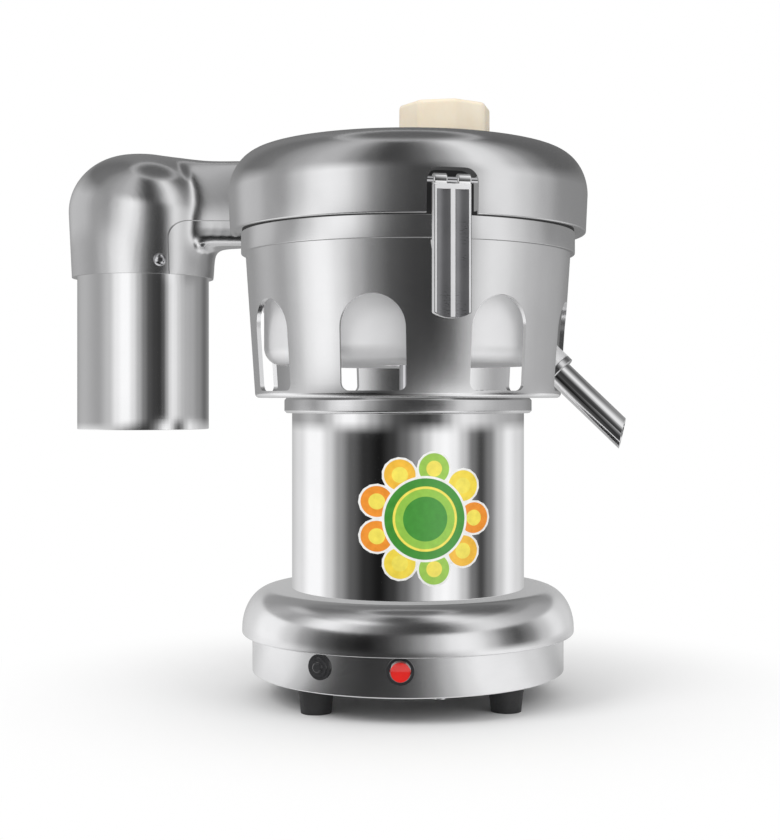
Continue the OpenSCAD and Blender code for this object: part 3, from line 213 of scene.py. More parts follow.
def row_darkness(tree, share, stops):
    """How dark a row of flags is over the whole round. The colours wait until all the stops are there."""
    ramp = add_node(tree, "ShaderNodeValToRGB", {"Fac": share})
    ramp.color_ramp.interpolation = "EASE"
    for azimuth, dark in stops[1:-1]:
        ramp.color_ramp.elements.new((azimuth + 180) / 360)
    for stop, (azimuth, dark) in zip(ramp.color_ramp.elements, stops):
        stop.color = (dark, dark, dark, 1)
    return ramp.outputs["Color"]


def round_darkness(tree):
    """How dark the round wall is at an azimuth and a height, where each row fades into the next."""
    parts = add_node(tree, "ShaderNodeSeparateXYZ", {0: object_place(tree)}).outputs
    angle = reckon(tree, "ARCTAN2", parts["X"], reckon(tree, "MULTIPLY", parts["Y"], -1.0))
    share = span(tree, angle, 0, 1, -math.pi, math.pi)
    dark = row_darkness(tree, share, floor_stops)
    for start, end, stops in wall_rows:
        dark = span(tree, parts["Z"], dark, row_darkness(tree, share, stops), start, end)
    return dark


def overhead_darkness(tree):
    """How dark the overhead sheet is: darkest over the object, and half of that at its edge."""
    flat = reckon_way(tree, "MULTIPLY", object_place(tree), (1, 1, 0))
    distance = reckon_way(tree, "LENGTH", flat, outcome="Value")
    return span(tree, distance, overhead_dark, overhead_dark / 2, overhead_clear, flag_radius)


bpy.ops.object.select_all(action="DESELECT")
bpy.ops.mesh.primitive_cylinder_add(vertices=flag_sides, radius=flag_radius, depth=flag_high - flag_low,
    end_fill_type="NOTHING", location=(0, 0, (flag_high + flag_low) / 2))
bpy.ops.object.transform_apply(location=True)
wall_flag = bpy.context.object
wall_flag.name = "flags_round"
bpy.ops.object.mode_set(mode="EDIT")
bpy.ops.mesh.select_mode(type="EDGE")
bpy.ops.mesh.select_all(action="SELECT")
bpy.ops.mesh.region_to_loop()
bpy.ops.object.mode_set(mode="OBJECT")
for edge in wall_flag.data.edges:
    edge.select = all(wall_flag.data.vertices[v].co.z < flag_high / 2 for v in edge.vertices)
bpy.ops.object.mode_set(mode="EDIT")
bpy.ops.mesh.extrude_edges_move()
bpy.ops.transform.resize(value=(flag_foot_r / flag_radius, flag_foot_r / flag_radius, 1))
bpy.ops.mesh.select_mode(type="VERT")
bpy.ops.object.mode_set(mode="OBJECT")
stand_flag(wall_flag, "flag_cloth", round_darkness)
bpy.ops.object.select_all(action="DESELECT")
bpy.ops.mesh.primitive_circle_add(vertices=flag_sides, radius=flag_radius, fill_type="NGON",
    location=(0, 0, overhead_height))
bpy.ops.object.transform_apply(location=True)
bpy.context.object.name = "flag_overhead"
stand_flag(bpy.context.object, "flag_overhead_cloth", overhead_darkness)


# Lamps: a square soft one above the left front, and a weaker one to the right. Both point at the middle
# of the object, and neither shows in the metal.
lamp_size = 0.9
lamps = [("lamp_left", 12, (-0.9, -1.1, 1.3)), ("lamp_right", 5, (1.2, -0.6, 0.8))]

for name, watts, position in lamps:
    lamp_data = bpy.data.lights.new(name, "AREA")
    lamp_data.energy = watts
    lamp_data.size = lamp_size
    lamp = bpy.data.objects.new(name, lamp_data)
    lamp.location = position
    way = Vector((0, 0, eye_height)) - Vector(position)
    lamp.rotation_euler = way.to_track_quat("-Z", "Y").to_euler()
    lamp.visible_glossy = False
    scene.collection.objects.link(lamp)


# Base: a cast aluminium pedestal, skimmed in a lathe, with a rolled lip over a
# straight wall. Its top carries the motor, and its wall is bored for the
# switch, the overload reset and the cord gland.
base_low, base_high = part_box("base_casting")
foot_height = base_low.z
base_lip_r = base_high.x
base_wall_r = 0.108
base_wall = 0.0035
base_lip_z = 0.044
base_shoulder_z = 0.047
base_top_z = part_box("motor_shell")[0].z
base_shoulder_w = 0.020
base_way_r = 0.060
base_edge = 0.0009
control_z = 0.035
switch_azimuth = 9.5
switch_bore_r = 0.0075
reset_azimuth = -18.8
reset_bore_r = 0.0057
gland_azimuth = 180
gland_bore_r = 0.0065
drill_reach = 0.01
speck = 0.01
join_distance = 1e-6


def corner(centre_r, centre_z, radius_r, radius_z, first, last, count):
    """Points on an elliptical corner, from one angle to another in degrees."""
    points = []
    for i in range(count + 1):
        angle = math.radians(first + (last - first) * i / count)
        points.append((centre_r + radius_r * math.cos(angle), centre_z + radius_z * math.sin(angle)))
    return points


def draw_line(name, points):
    """A closed line drawn by extruding one corner after another. It is left open in edit mode."""
    bpy.ops.object.select_all(action="DESELECT")
    bpy.ops.mesh.primitive_plane_add(size=speck)
    bpy.context.object.name = name
    bpy.ops.object.mode_set(mode="EDIT")
    bpy.ops.mesh.merge(type="CENTER")
    bpy.ops.transform.translate(value=points[0])
    for here, there in zip(points, points[1:] + points[:1]):
        step = [b - a for a, b in zip(here, there)]
        bpy.ops.mesh.extrude_vertices_move(TRANSFORM_OT_translate={"value": step})
    bpy.ops.mesh.select_all(action="SELECT")
    bpy.ops.mesh.remove_doubles(threshold=join_distance)
    return bpy.context.object


def close_mesh(piece):
    """Merges doubles, drops the line left on an axis, turns the faces outwards and leaves edit mode."""
    bpy.ops.mesh.select_all(action="SELECT")
    bpy.ops.mesh.remove_doubles(threshold=join_distance)
    bpy.ops.mesh.delete_loose()
    bpy.ops.mesh.select_all(action="SELECT")
    bpy.ops.mesh.normals_make_consistent(inside=False)
    bpy.ops.object.mode_set(mode="OBJECT")
    return piece


def turn(name, outline, steps=160, centre=(0, 0)):
    """Turns a closed outline of radius and height, as in a lathe, about an upright axis."""
    piece = draw_line(name, [(centre[0] + r, centre[1], z) for r, z in outline])
    bpy.ops.mesh.spin(steps=steps, angle=2 * math.pi, center=(centre[0], centre[1], 0), axis=(0, 0, 1))
    return close_mesh(piece)


def slab(name, points, depth):
    """Fills a closed line and extrudes it by a vector."""
    piece = draw_line(name, points)
    bpy.ops.mesh.edge_face_add()
    bpy.ops.mesh.extrude_region_move(TRANSFORM_OT_translate={"value": depth})
    return close_mesh(piece)


def alone(piece):
    """Selects one piece and nothing else."""
    bpy.ops.object.select_all(action="DESELECT")
    piece.select_set(True)
    bpy.context.view_layer.objects.active = piece


def modify(piece, kind, **settings):
    """Adds a modifier and applies it."""
    alone(piece)
    modifier = piece.modifiers.new(kind.lower(), kind)
    for key, value in settings.items():
        setattr(modifier, key, value)
    bpy.ops.object.modifier_apply(modifier=modifier.name)


def ease_edges(piece, width, segments=2, angle=40):
    """Breaks the sharp edges by a small round."""
    modify(piece, "BEVEL", width=width, segments=segments, limit_method="ANGLE",
        angle_limit=math.radians(angle), use_clamp_overlap=True)


def combine(piece, tool, how):
    """Cuts a piece by another one, or joins or keeps what both share, and removes the other."""
    modify(piece, "BOOLEAN", object=tool, operation=how, solver="MANIFOLD")
    bpy.data.objects.remove(tool)


def smooth(piece, angle=30):
    """Smooth shading between its sharp edges, led by the larger faces."""
    alone(piece)
    bpy.ops.object.shade_smooth_by_angle(angle=math.radians(angle))
    modify(piece, "WEIGHTED_NORMAL", keep_sharp=True)


def outward(azimuth, out, across, height):
    """The point at a distance outward from the axis at an azimuth, and across it towards larger azimuths."""
    a = math.radians(azimuth)
    return (out * math.sin(a) + across * math.cos(a), -out * math.cos(a) + across * math.sin(a), height)


def rod(name, start, end, radius, sides=48):
    """A plain round bar from one point to another."""
    start, end = Vector(start), Vector(end)
    bpy.ops.object.select_all(action="DESELECT")
    bpy.ops.mesh.primitive_cylinder_add(vertices=sides, radius=radius, depth=(end - start).length,
        location=(start + end) / 2, rotation=(end - start).to_track_quat("Z", "Y").to_euler())
    bpy.ops.object.transform_apply(location=True, rotation=True)
    bpy.context.object.name = name
    return bpy.context.object


def new_material(name, **sockets):
    """A material with one surface shader, whose plain values are set on its own sockets."""
    paint = bpy.data.materials.new(name)
    paint.use_nodes = True
    shader = paint.node_tree.nodes["Principled BSDF"]
    for key, value in sockets.items():
        shader.inputs[key.replace("_", " ")].default_value = value
    return paint, paint.node_tree, shader


def over(tree, value, below, above):
    """Lays one colour over another where the value is one, each a colour or another node's output."""
    mix = add_node(tree, "ShaderNodeMix", {"Factor": value}, data_type="RGBA")
    for socket, colour in ((mix.inputs[6], below), (mix.inputs[7], above)):
        if isinstance(colour, bpy.types.NodeSocket):
            tree.links.new(colour, socket)
        else:
            socket.default_value = (*colour, 1)
    return mix.outputs[2]


def noise(tree, place, scale, detail=4.0, roughness=0.5):
    """A cloudy value between nought and one."""
    return add_node(tree, "ShaderNodeTexNoise",
        {"Vector": place, "Scale": scale, "Detail": detail, "Roughness": roughness}).outputs["Fac"]


def metal_material(name, dark, light, rough, rough_spread, line_scale, line_depth, grain_scale=0,
        grain_depth=0, centre_x=0.0, metallic=1.0):
    """Metal turned or buffed round an upright axis: fine lines, cloudy wear, and a cast grain if asked."""
    paint, tree, shader = new_material(name, Metallic=metallic)
    place = object_place(tree)
    centred = reckon_way(tree, "SUBTRACT", place, (centre_x, 0, 0))
    flat = reckon_way(tree, "MULTIPLY", centred, (1, 1, 0))
    radius = reckon_way(tree, "LENGTH", flat, outcome="Value")
    height = add_node(tree, "ShaderNodeSeparateXYZ", {0: place}).outputs["Z"]
    ring = add_node(tree, "ShaderNodeCombineXYZ", {"X": radius, "Z": height}).outputs[0]
    lines = noise(tree, ring, line_scale, detail=6.0, roughness=0.7)
    cloud = noise(tree, place, scale=28.0, detail=5.0, roughness=0.6)
    tree.links.new(over(tree, span(tree, cloud, 0, 1), dark, light), shader.inputs["Base Color"])
    both = reckon(tree, "ADD", cloud, lines)
    roughness = span(tree, both, rough - rough_spread, rough + rough_spread, 0.7, 1.3)
    tree.links.new(roughness, shader.inputs["Roughness"])
    bump = add_node(tree, "ShaderNodeBump", {"Height": lines, "Strength": 1.0, "Distance": line_depth})
    if grain_scale:
        bump = add_node(tree, "ShaderNodeBump", {"Height": noise(tree, place, grain_scale),
            "Strength": 1.0, "Distance": grain_depth, "Normal": bump.outputs[0]})
    tree.links.new(bump.outputs[0], shader.inputs["Normal"])
    return paint


cast_metal = metal_material("satin_aluminium", (0.84, 0.84, 0.85), (0.90, 0.90, 0.91), 0.19, 0.02,
    900.0, 0.0000012, 260.0, 0.000005)


def paint_with(piece, *paints):
    """Gives a piece its materials, the main one first."""
    piece.data.materials.clear()
    for paint in paints:
        piece.data.materials.append(paint)


def place_piece(piece, body, material_slot, *nodes):
    """Puts a finished piece on its body, for the CAD nodes that it stands for."""
    piece.visible_glossy = False
    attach(piece, body)
    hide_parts(*nodes)


base = turn("base_pedestal", [(base_wall_r, foot_height), (base_wall_r, base_lip_z), (base_lip_r, base_lip_z)]
    + corner(base_lip_r - base_shoulder_w, base_shoulder_z, base_shoulder_w, base_top_z - base_shoulder_z,
        0, 90, 20)
    + [(base_way_r, base_top_z), (base_way_r, base_top_z - base_wall)]
    + corner(base_lip_r - base_shoulder_w, base_shoulder_z,
        base_wall_r - base_wall - base_lip_r + base_shoulder_w, base_top_z - base_shoulder_z - base_wall,
        90, 0, 10)
    + [(base_wall_r - base_wall, foot_height)])
ease_edges(base, base_edge, 3)
bores = [(switch_azimuth, switch_bore_r), (reset_azimuth, reset_bore_r), (gland_azimuth, gland_bore_r)]
for azimuth, radius in bores:
    drill = rod("drill", outward(azimuth, base_wall_r - drill_reach, 0, control_z),
        outward(azimuth, base_lip_r, 0, control_z), radius)
    combine(base, drill, "DIFFERENCE")
smooth(base)
paint_with(base, cast_metal)
place_piece(base, "frame", "cast_aluminium", "base_casting")


# Motor shell: a length of mirror-polished stainless tube round the motor,
# rolled, welded and buffed, clamped between the base and the neck ring.
shell_low, shell_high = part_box("motor_shell")
shell_r = shell_high.x
shell_wall = 0.0012
shell_edge = 0.0003
polished_metal = metal_material("mirror_steel", (0.92, 0.92, 0.93), (0.96, 0.96, 0.97), 0.055, 0.025,
    500.0, 0.000002)

shell = turn("motor_sleeve", [(shell_r - shell_wall, shell_low.z), (shell_r, shell_low.z),
    (shell_r, shell_high.z), (shell_r - shell_wall, shell_high.z)], steps=256)
ease_edges(shell, shell_edge)
smooth(shell)
paint_with(shell, polished_metal)
place_piece(shell, "frame", "polished_steel", "motor_shell")


# Neck ring: a turned aluminium ring with broken edges that closes the motor
# shell and carries the shroud.
neck_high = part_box("neck_ring")[1]
neck_r = neck_high.x
neck_bore = 0.046
neck_edge = 0.0015
neck_break = 0.0004
turned_metal = metal_material("turned_aluminium", (0.78, 0.78, 0.79), (0.86, 0.86, 0.87), 0.16, 0.05,
    1200.0, 0.000008)

neck = turn("neck_collar", [(neck_bore, shell_high.z), (neck_r - neck_edge, shell_high.z),
    (neck_r, shell_high.z + neck_edge), (neck_r, neck_high.z - neck_edge), (neck_r - neck_edge, neck_high.z),
    (neck_bore, neck_high.z)])
ease_edges(neck, neck_break)
smooth(neck)
paint_with(neck, turned_metal)
place_piece(neck, "frame", "cast_aluminium", "neck_ring")


# Shroud: a flared aluminium casting, turned outside, with eight arched windows
# sawn through its wall and a flat floor screwed to the neck.
shroud_low, shroud_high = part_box("shroud")
shroud_bottom_r = 0.1062
shroud_top_r = shroud_high.x
shroud_wall = 0.003
shroud_floor = 0.003
shroud_edge = 0.003
shroud_break = 0.0005
shroud_bore = 0.040
window_count = 8
window_w = 0.0427
window_h = 0.061
window_sill = 0.0045
window_corner_r = 0.005
window_from = 0.092
wall_rings = 14
shroud_metal = metal_material("satin_shroud", (0.88, 0.88, 0.89), (0.94, 0.94, 0.95), 0.19, 0.02,
    1000.0, 0.0000012)


def join_pieces(name, pieces):
    """Makes several pieces one object."""
    bpy.ops.object.select_all(action="DESELECT")
    for piece in pieces:
        piece.select_set(True)
    bpy.context.view_layer.objects.active = pieces[0]
    bpy.ops.object.join()
    pieces[0].name = name
    return pieces[0]


shroud_wall_z = shroud_low.z + shroud_edge
shroud = turn("window_shroud", [(shroud_bore, shroud_low.z)]
    + corner(shroud_bottom_r - shroud_edge, shroud_wall_z, shroud_edge, shroud_edge, -90, 0, 6)
    + [(shroud_bottom_r + (shroud_top_r - shroud_bottom_r) * i / wall_rings,
        shroud_wall_z + (shroud_high.z - shroud_wall_z) * i / wall_rings) for i in range(1, wall_rings + 1)]
    + [(shroud_top_r - shroud_wall, shroud_high.z),
    (shroud_bottom_r - shroud_wall, shroud_low.z + shroud_floor), (shroud_bore, shroud_low.z + shroud_floor)],
    steps=256)
half, r = window_w / 2, window_corner_r
window_outline = (corner(r - half, r, r, r, 180, 270, 6) + corner(half - r, r, r, r, 270, 360, 6)
    + corner(0, window_h - half, half, half, 0, 180, 32))
cutters = []
for i in range(window_count):
    azimuth = i * 360 / window_count
    points = [outward(azimuth, window_from, across, shroud_low.z + window_sill + up)
        for across, up in window_outline]
    reach = outward(azimuth, shroud_top_r + shroud_edge - window_from, 0, 0)
    cutters.append(slab("window_cutter", points, reach))
combine(shroud, join_pieces("window_cutters", cutters), "DIFFERENCE")
ease_edges(shroud, shroud_break, 2, 50)
smooth(shroud)
paint_with(shroud, shroud_metal)
place_piece(shroud, "frame", "cast_aluminium", "shroud")


# Juice bowl: a polished aluminium casting, left blasted where the shroud hides it. A rim band stands on
# the shroud, the pan hangs inside it with a chimney for the shaft, and a trough with half a skirt runs
# out to the pulp elbow. A boss takes the juice spout.
lid_low, lid_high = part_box("lid")
tube_low, tube_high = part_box("pulp_tube")
rim_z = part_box("bowl_gasket")[0].z
band_z = shroud_high.z
band_r = 0.1158
band_wall = 0.003
flange_z = band_z + 0.004
bowl_r = 0.100
bowl_wall = 0.0025
bowl_z = 0.228
bowl_corner = 0.012
chimney_r = 0.020
chimney_wall = 0.003
chimney_top = bowl_z + 0.014
elbow_x = (tube_low.x + tube_high.x) / 2
skirt_z = lid_low.z
skirt_r = 0.0505
elbow_r = 0.053
elbow_shoulder_z = rim_z + 0.020
elbow_top = 0.381
elbow_flat_r = 0.008
elbow_wall = 0.0025
duct_half_w = 0.036
duct_taper = 0.3
duct_z = rim_z - 0.006
duct_top_r = 0.0355
duct_arch_h = 0.056
duct_bottom_r = 0.010
duct_end_x = -0.096
duct_end_top = 0.375
duct_slope_share = 0.62
duct_steps = 12
seam_x = elbow_x + 0.034
seam_z = rim_z + 0.0115
seam_r = 0.013
seam_gap = 0.0006
spare = 0.006
blend_voxel = 0.0016
blend_rounds = 90
blend_from = 0.012
blend_to = 0.044
blend_least_share = 0.04
skirt_room = 0.1
bowl_edge = 0.0005
spout_start = Vector((0.1062, 0, bowl_z - 0.0061))
spout_fall = math.radians(44)
spout_way = Vector((math.cos(spout_fall), 0, -math.sin(spout_fall)))
spout_r = 0.009
boss_r = 0.0125
boss_back = 0.022
boss_front = 0.005
bowl_metal = metal_material("polished_casting", (0.86, 0.86, 0.87), (0.92, 0.92, 0.93), 0.18, 0.03,
    700.0, 0.000003)
blasted_metal = metal_material("blasted_casting", (0.90, 0.90, 0.91), (0.96, 0.96, 0.97), 0.46, 0.04,
    900.0, 0.000002, 700.0, 0.00001, metallic=0.5)


def join_solids(first, *others):
    """Fuses pieces into the first one."""
    for other in others:
        combine(first, other, "UNION")
    return first


def duct(name, wall, low_spare):
    """The pulp duct from the elbow's axis to the lid, shrunk by a wall. It narrows under an easing top."""
    half, top_r, low_r = duct_half_w - wall, duct_top_r - wall, duct_bottom_r - wall
    arch_h = duct_arch_h - wall
    low, high = duct_z + wall, elbow_top - wall
    section = (corner(half - low_r, low + low_r, low_r, low_r, -90, 0, 8)
        + corner(half - top_r, high - arch_h, top_r, arch_h, 0, 90, 16)
        + corner(top_r - half, high - arch_h, top_r, arch_h, 90, 180, 16)
        + corner(low_r - half, low + low_r, low_r, low_r, 180, 270, 8))
    body = slab(name, [(elbow_x, y, z) for y, z in section], (duct_end_x - elbow_x, 0, 0))
    for point in body.data.vertices:
        if point.co.x > elbow_x + spare:
            point.co.y *= duct_taper
    run = duct_slope_share * (duct_end_x - elbow_x)
    fall = elbow_top - duct_end_top
    side = [(elbow_x + run * i / duct_steps,
        elbow_top - wall - fall * (1 - math.cos(math.pi * i / duct_steps)) / 2) for i in range(duct_steps + 1)]
    foot = skirt_z - low_spare
    side += [(duct_end_x, duct_end_top - wall), (duct_end_x, foot), (elbow_x, foot)]
    half = duct_half_w + spare
    combine(body, slab("duct_side", [(x, -half, z) for x, z in side], (0, 2 * half, 0)), "INTERSECT")
    return body


def elbow(name, wall, low_spare):
    """The elbow's dome and skirt, turned about the pulp tube's axis."""
    low = skirt_z - low_spare
    dome = corner(elbow_flat_r, elbow_shoulder_z, elbow_r - wall - elbow_flat_r,
        elbow_top - elbow_shoulder_z - wall, 0, 90, 24)
    return turn(name, [(0, low), (skirt_r - wall, low)] + dome + [(0, elbow_top - wall)], steps=128,
        centre=(elbow_x, 0))


def trough_cutter(gap):
    """The part of the elbow and duct that belongs to the bowl, drawn in by a gap at its seam."""
    x, top, low = seam_x + gap, seam_z - gap, skirt_z - 2 * spare
    outline = [(x, low), (duct_end_x + spare, low), (duct_end_x + spare, top)]
    outline += corner(x + seam_r, top - seam_r, seam_r, seam_r, 90, 180, 12)
    half = elbow_r + spare
    return slab("trough_cutter", [(px, -half, pz) for px, pz in outline], (0, 2 * half, 0))


def copy_piece(piece, name):
    """A second piece of the same shape, with its own mesh."""
    twin = piece.copy()
    twin.data = piece.data.copy()
    twin.name = name
    scene.collection.objects.link(twin)
    return twin


hood_form = join_solids(elbow("hood_form", 0, spare), duct("duct_form", 0, 0))
modify(hood_form, "REMESH", mode="VOXEL", voxel_size=blend_voxel)
joint_group = hood_form.vertex_groups.new(name="joint")
for point in hood_form.data.vertices:
    share = (point.co.x - elbow_x - blend_from) / (blend_to - blend_from)
    joint_group.add([point.index], min(max(share, blend_least_share), 1.0), "REPLACE")
modify(hood_form, "SMOOTH", factor=0.5, iterations=blend_rounds, vertex_group="joint")
left, right, foot = elbow_x - skirt_room, elbow_x + skirt_room, skirt_z - skirt_room / 2
skirt_end = slab("skirt_end", [(left, -skirt_room, foot), (right, -skirt_room, foot),
    (right, -skirt_room, skirt_z), (left, -skirt_room, skirt_z)], (0, 2 * skirt_room, 0))
combine(hood_form, skirt_end, "DIFFERENCE")

trough = copy_piece(hood_form, "trough_form")
combine(trough, trough_cutter(seam_gap), "INTERSECT")
combine(trough, rod("band_room", (0, 0, bowl_z), (0, 0, lid_high.z), band_r - band_wall, 160), "DIFFERENCE")
hollow = ([(chimney_r, bowl_z + bowl_wall)]
    + corner(bowl_r - bowl_corner, bowl_z + bowl_corner, bowl_corner - bowl_wall, bowl_corner - bowl_wall,
        -90, 0, 12)
    + [(bowl_r - bowl_wall, flange_z)])
bowl = turn("bowl_casting", [(chimney_r - chimney_wall, bowl_z)]
    + corner(bowl_r - bowl_corner, bowl_z + bowl_corner, bowl_corner, bowl_corner, -90, 0, 12)
    + [(bowl_r, band_z), (band_r, band_z), (band_r, rim_z), (band_r - band_wall, rim_z),
    (band_r - band_wall, flange_z)] + hollow[::-1]
    + [(chimney_r, chimney_top), (chimney_r - chimney_wall, chimney_top)], steps=256)
ease_edges(bowl, bowl_edge)
boss = rod("spout_boss", spout_start - boss_back * spout_way, spout_start - boss_front * spout_way, boss_r)
join_solids(bowl, trough, boss)
for tool in [duct("duct_way", elbow_wall, spare), elbow("elbow_way", elbow_wall, 2 * spare),
        turn("bowl_way", hollow + [(chimney_r, flange_z)], steps=256),
        rod("spout_way", spout_start - 2 * boss_back * spout_way, spout_start, spout_r)]:
    combine(bowl, tool, "DIFFERENCE")
smooth(bowl, 35)
paint_with(bowl, bowl_metal, cast_metal, blasted_metal)
for face in bowl.data.polygons:
    if face.center.x < -band_r:
        face.material_index = 1
    elif face.center.z < band_z and math.hypot(face.center.x, face.center.y) > chimney_r + spare:
        face.material_index = 2
place_piece(bowl, "frame", "bowl_metal", "juice_bowl")


# Lid: a thick aluminium casting, skimmed to a satin finish. The pan has a rounded shoulder and two pockets
# for the latches, and its hood swells into the elbow over the pulp tube. The pockets' back and top faces
# are coloured near black: painted shade.
lid_rim_r = 0.1233
lid_r = lid_high.x
belly_z = rim_z + 0.026
shoulder_top = belly_z + 0.030
shoulder_w = 0.024
crown_z = shoulder_top + 0.002
crown_flat_r = 0.062
lid_wall = 0.003
ledge_low = rim_z + 0.0025
ledge_t = 0.003
ledge_w = 0.010
latch_azimuth = 25
recess_x = 0.1115
recess_w = 0.033
recess_h = 0.028
recess_r = 0.009
recess_wall = 0.0025
paint_margin = 0.0002
pocket_lip = 0.001
facing_out_share = 0.7
facing_down_share = 0.5
lid_edge = 0.0008
throat_low, throat_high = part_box("feed_throat")
throat_x = 0.026
throat_w = 0.0574
throat_clear = 0.0005
# The pockets' near-black colour is painted shade, not the casting's own colour.
pocket_shade_metal = metal_material("rough_pocket_painted_shade", (0.05, 0.05, 0.052), (0.10, 0.10, 0.104), 0.42, 0.06,
    900.0, 0.000002, 700.0, 0.00003)


def pan(name, wall, low):
    """The lid's round pan, turned as a solid and shrunk by a wall."""
    return turn(name, [(0, low), (lid_rim_r - wall, low)]
        + corner(lid_r - shoulder_w, belly_z, shoulder_w - wall, shoulder_top - belly_z - wall, 0, 90, 24)
        + [(crown_flat_r, crown_z - wall), (0, crown_z - wall)], steps=256)


def recess_form(name, azimuth, wall, start, end, low):
    """A pocket of the latch with a round-cornered top, grown by a wall."""
    half, r, top = recess_w / 2 + wall, recess_r + wall, rim_z + recess_h + wall
    outline = ([(-half, low), (half, low)] + corner(half - r, top - r, r, r, 0, 90, 10)
        + corner(r - half, top - r, r, r, 90, 180, 10))
    return slab(name, [outward(azimuth, start, across, up) for across, up in outline],
        outward(azimuth, end - start, 0, 0))


def octagon(name, width, low, high):
    """An eight-sided bar on the feed throat's axis."""
    corner_r = width / 2 / math.cos(math.pi / 8)
    ring = []
    for i in range(8):
        angle = math.radians(22.5 + 45 * i)
        ring.append((throat_x + corner_r * math.cos(angle), corner_r * math.sin(angle), low))
    return slab(name, ring, (0, 0, high - low))


lid = pan("lid_casting", 0, rim_z)
ease_edges(lid, lid_edge, 3)
combine(hood_form, trough_cutter(0), "DIFFERENCE")
join_solids(lid, hood_form)
for tool in [pan("pan_way", lid_wall, rim_z - spare), duct("hood_way", elbow_wall, spare),
        elbow("dome_way", elbow_wall, 2 * spare)]:
    combine(lid, tool, "DIFFERENCE")
ledge = turn("ledge", [(lid_rim_r - lid_wall - ledge_w, ledge_low), (lid_rim_r - lid_wall / 2, ledge_low),
    (lid_rim_r - lid_wall / 2, ledge_low + ledge_t), (lid_rim_r - lid_wall - ledge_w, ledge_low + ledge_t)])
join_solids(lid, ledge)
trough_room = duct("trough_room", -seam_gap, spare)
combine(trough_room, trough_cutter(0), "INTERSECT")
combine(lid, trough_room, "DIFFERENCE")
for azimuth in (latch_azimuth, latch_azimuth + 180):
    pocket = recess_form("pocket", azimuth, recess_wall, recess_x - recess_wall, lid_r - lid_wall / 2,
        ledge_low)
    combine(pocket, pan("pan_limit", lid_wall / 2, rim_z), "INTERSECT")
    join_solids(lid, pocket)
for azimuth in (latch_azimuth, latch_azimuth + 180):
    combine(lid, recess_form("recess", azimuth, 0, recess_x, lid_r + spare, rim_z - spare), "DIFFERENCE")
combine(lid, octagon("throat_hole", throat_w + throat_clear, crown_z - spare, crown_z + spare), "DIFFERENCE")
smooth(lid, 35)
paint_with(lid, cast_metal, pocket_shade_metal)
latch_way = Vector(outward(latch_azimuth, 1, 0, 0))
for face in lid.data.polygons:
    out = abs(face.center.dot(latch_way))
    across = math.sqrt(max(face.center.x ** 2 + face.center.y ** 2 - out ** 2, 0))
    in_pocket = (across < recess_w / 2 + paint_margin
        and recess_x - paint_margin < out < lid_rim_r - pocket_lip
        and rim_z < face.center.z < rim_z + recess_h + paint_margin)
    faces_out = abs(face.normal.dot(latch_way)) > facing_out_share
    # Faces at the back and top of each pocket take the painted shade.
    if in_pocket and (faces_out or face.normal.z < -facing_down_share):
        face.material_index = 1
place_piece(lid, "lid_assembly", "cast_aluminium", "lid")


# Pulp tube: a length of polished stainless tube that slips up into the elbow's
# skirt and guides the pulp down into a bag, with both ends broken by a file.
tube_r = (tube_high.x - tube_low.x) / 2
tube_wall = 0.0015
tube_edge = 0.0004
polished_tube = metal_material("mirror_tube", (0.92, 0.92, 0.93), (0.96, 0.96, 0.97), 0.06, 0.025,
    500.0, 0.000002, centre_x=elbow_x)

tube = turn("pulp_pipe", [(tube_r - tube_wall, tube_low.z), (tube_r, tube_low.z), (tube_r, tube_high.z),
    (tube_r - tube_wall, tube_high.z)], steps=192, centre=(elbow_x, 0))
ease_edges(tube, tube_edge)
smooth(tube)
paint_with(tube, polished_tube)
place_piece(tube, "lid_assembly", "polished_steel", "pulp_tube")


# Tube screws: three bright domed screws with a six-sided socket, driven through
# the skirt so that their ends hold the tube.
screw_head_r = 0.0046
screw_head_h = 0.0029
screw_shank_r = 0.0019
screw_shank_l = 0.0038
screw_seat_r = 0.0513
screw_angles = (-55, 55, 180)
screw_z = 0.3015
screw_edge = 0.00025
socket_r = 0.0019
socket_floor = 0.0012
screw_steel = metal_material("bright_screw", (0.60, 0.60, 0.62), (0.74, 0.74, 0.76), 0.07, 0.03,
    900.0, 0.000002)


def aim(piece, at, way):
    """Takes a piece that was made about the upright axis at the origin to a place, its top the given way."""
    alone(piece)
    piece.rotation_euler = way.to_track_quat("Z", "Y").to_euler()
    piece.location = at
    bpy.ops.object.transform_apply(location=True, rotation=True)
    return piece


screw = turn("tube_screw", [(0, -screw_shank_l), (screw_shank_r, -screw_shank_l), (screw_shank_r, 0)]
    + corner(0, 0, screw_head_r, screw_head_h, 0, 90, 10), steps=40)
combine(screw, rod("key_socket", (0, 0, socket_floor), (0, 0, 2 * screw_head_h), socket_r, 6), "DIFFERENCE")
ease_edges(screw, screw_edge)
smooth(screw, 35)
screws = []
for angle in screw_angles:
    way = Vector((math.cos(math.radians(angle)), math.sin(math.radians(angle)), 0))
    seat = Vector((elbow_x, 0, screw_z)) + screw_seat_r * way
    screws.append(aim(copy_piece(screw, "tube_screw_copy"), seat, way))
bpy.data.objects.remove(screw)
tube_screws = join_pieces("tube_screw_set", screws)
paint_with(tube_screws, screw_steel)
place_piece(tube_screws, "lid_assembly", "screw_steel", "tube_screws")


# Feed throat: an eight-sided stainless tube welded from sheet, with a flange
# that rests on the lid's crown. Its corners are folded round.
throat_bore = 0.053
throat_flange_w = 0.068
throat_flange_t = 0.003
throat_drop = 0.004
throat_top = throat_high.z - throat_drop
throat_edge = 0.0003
fold_r = 0.0014
throat_steel = metal_material("throat_steel", (0.78, 0.78, 0.79), (0.86, 0.86, 0.87), 0.18, 0.05,
    800.0, 0.000004, centre_x=throat_x)

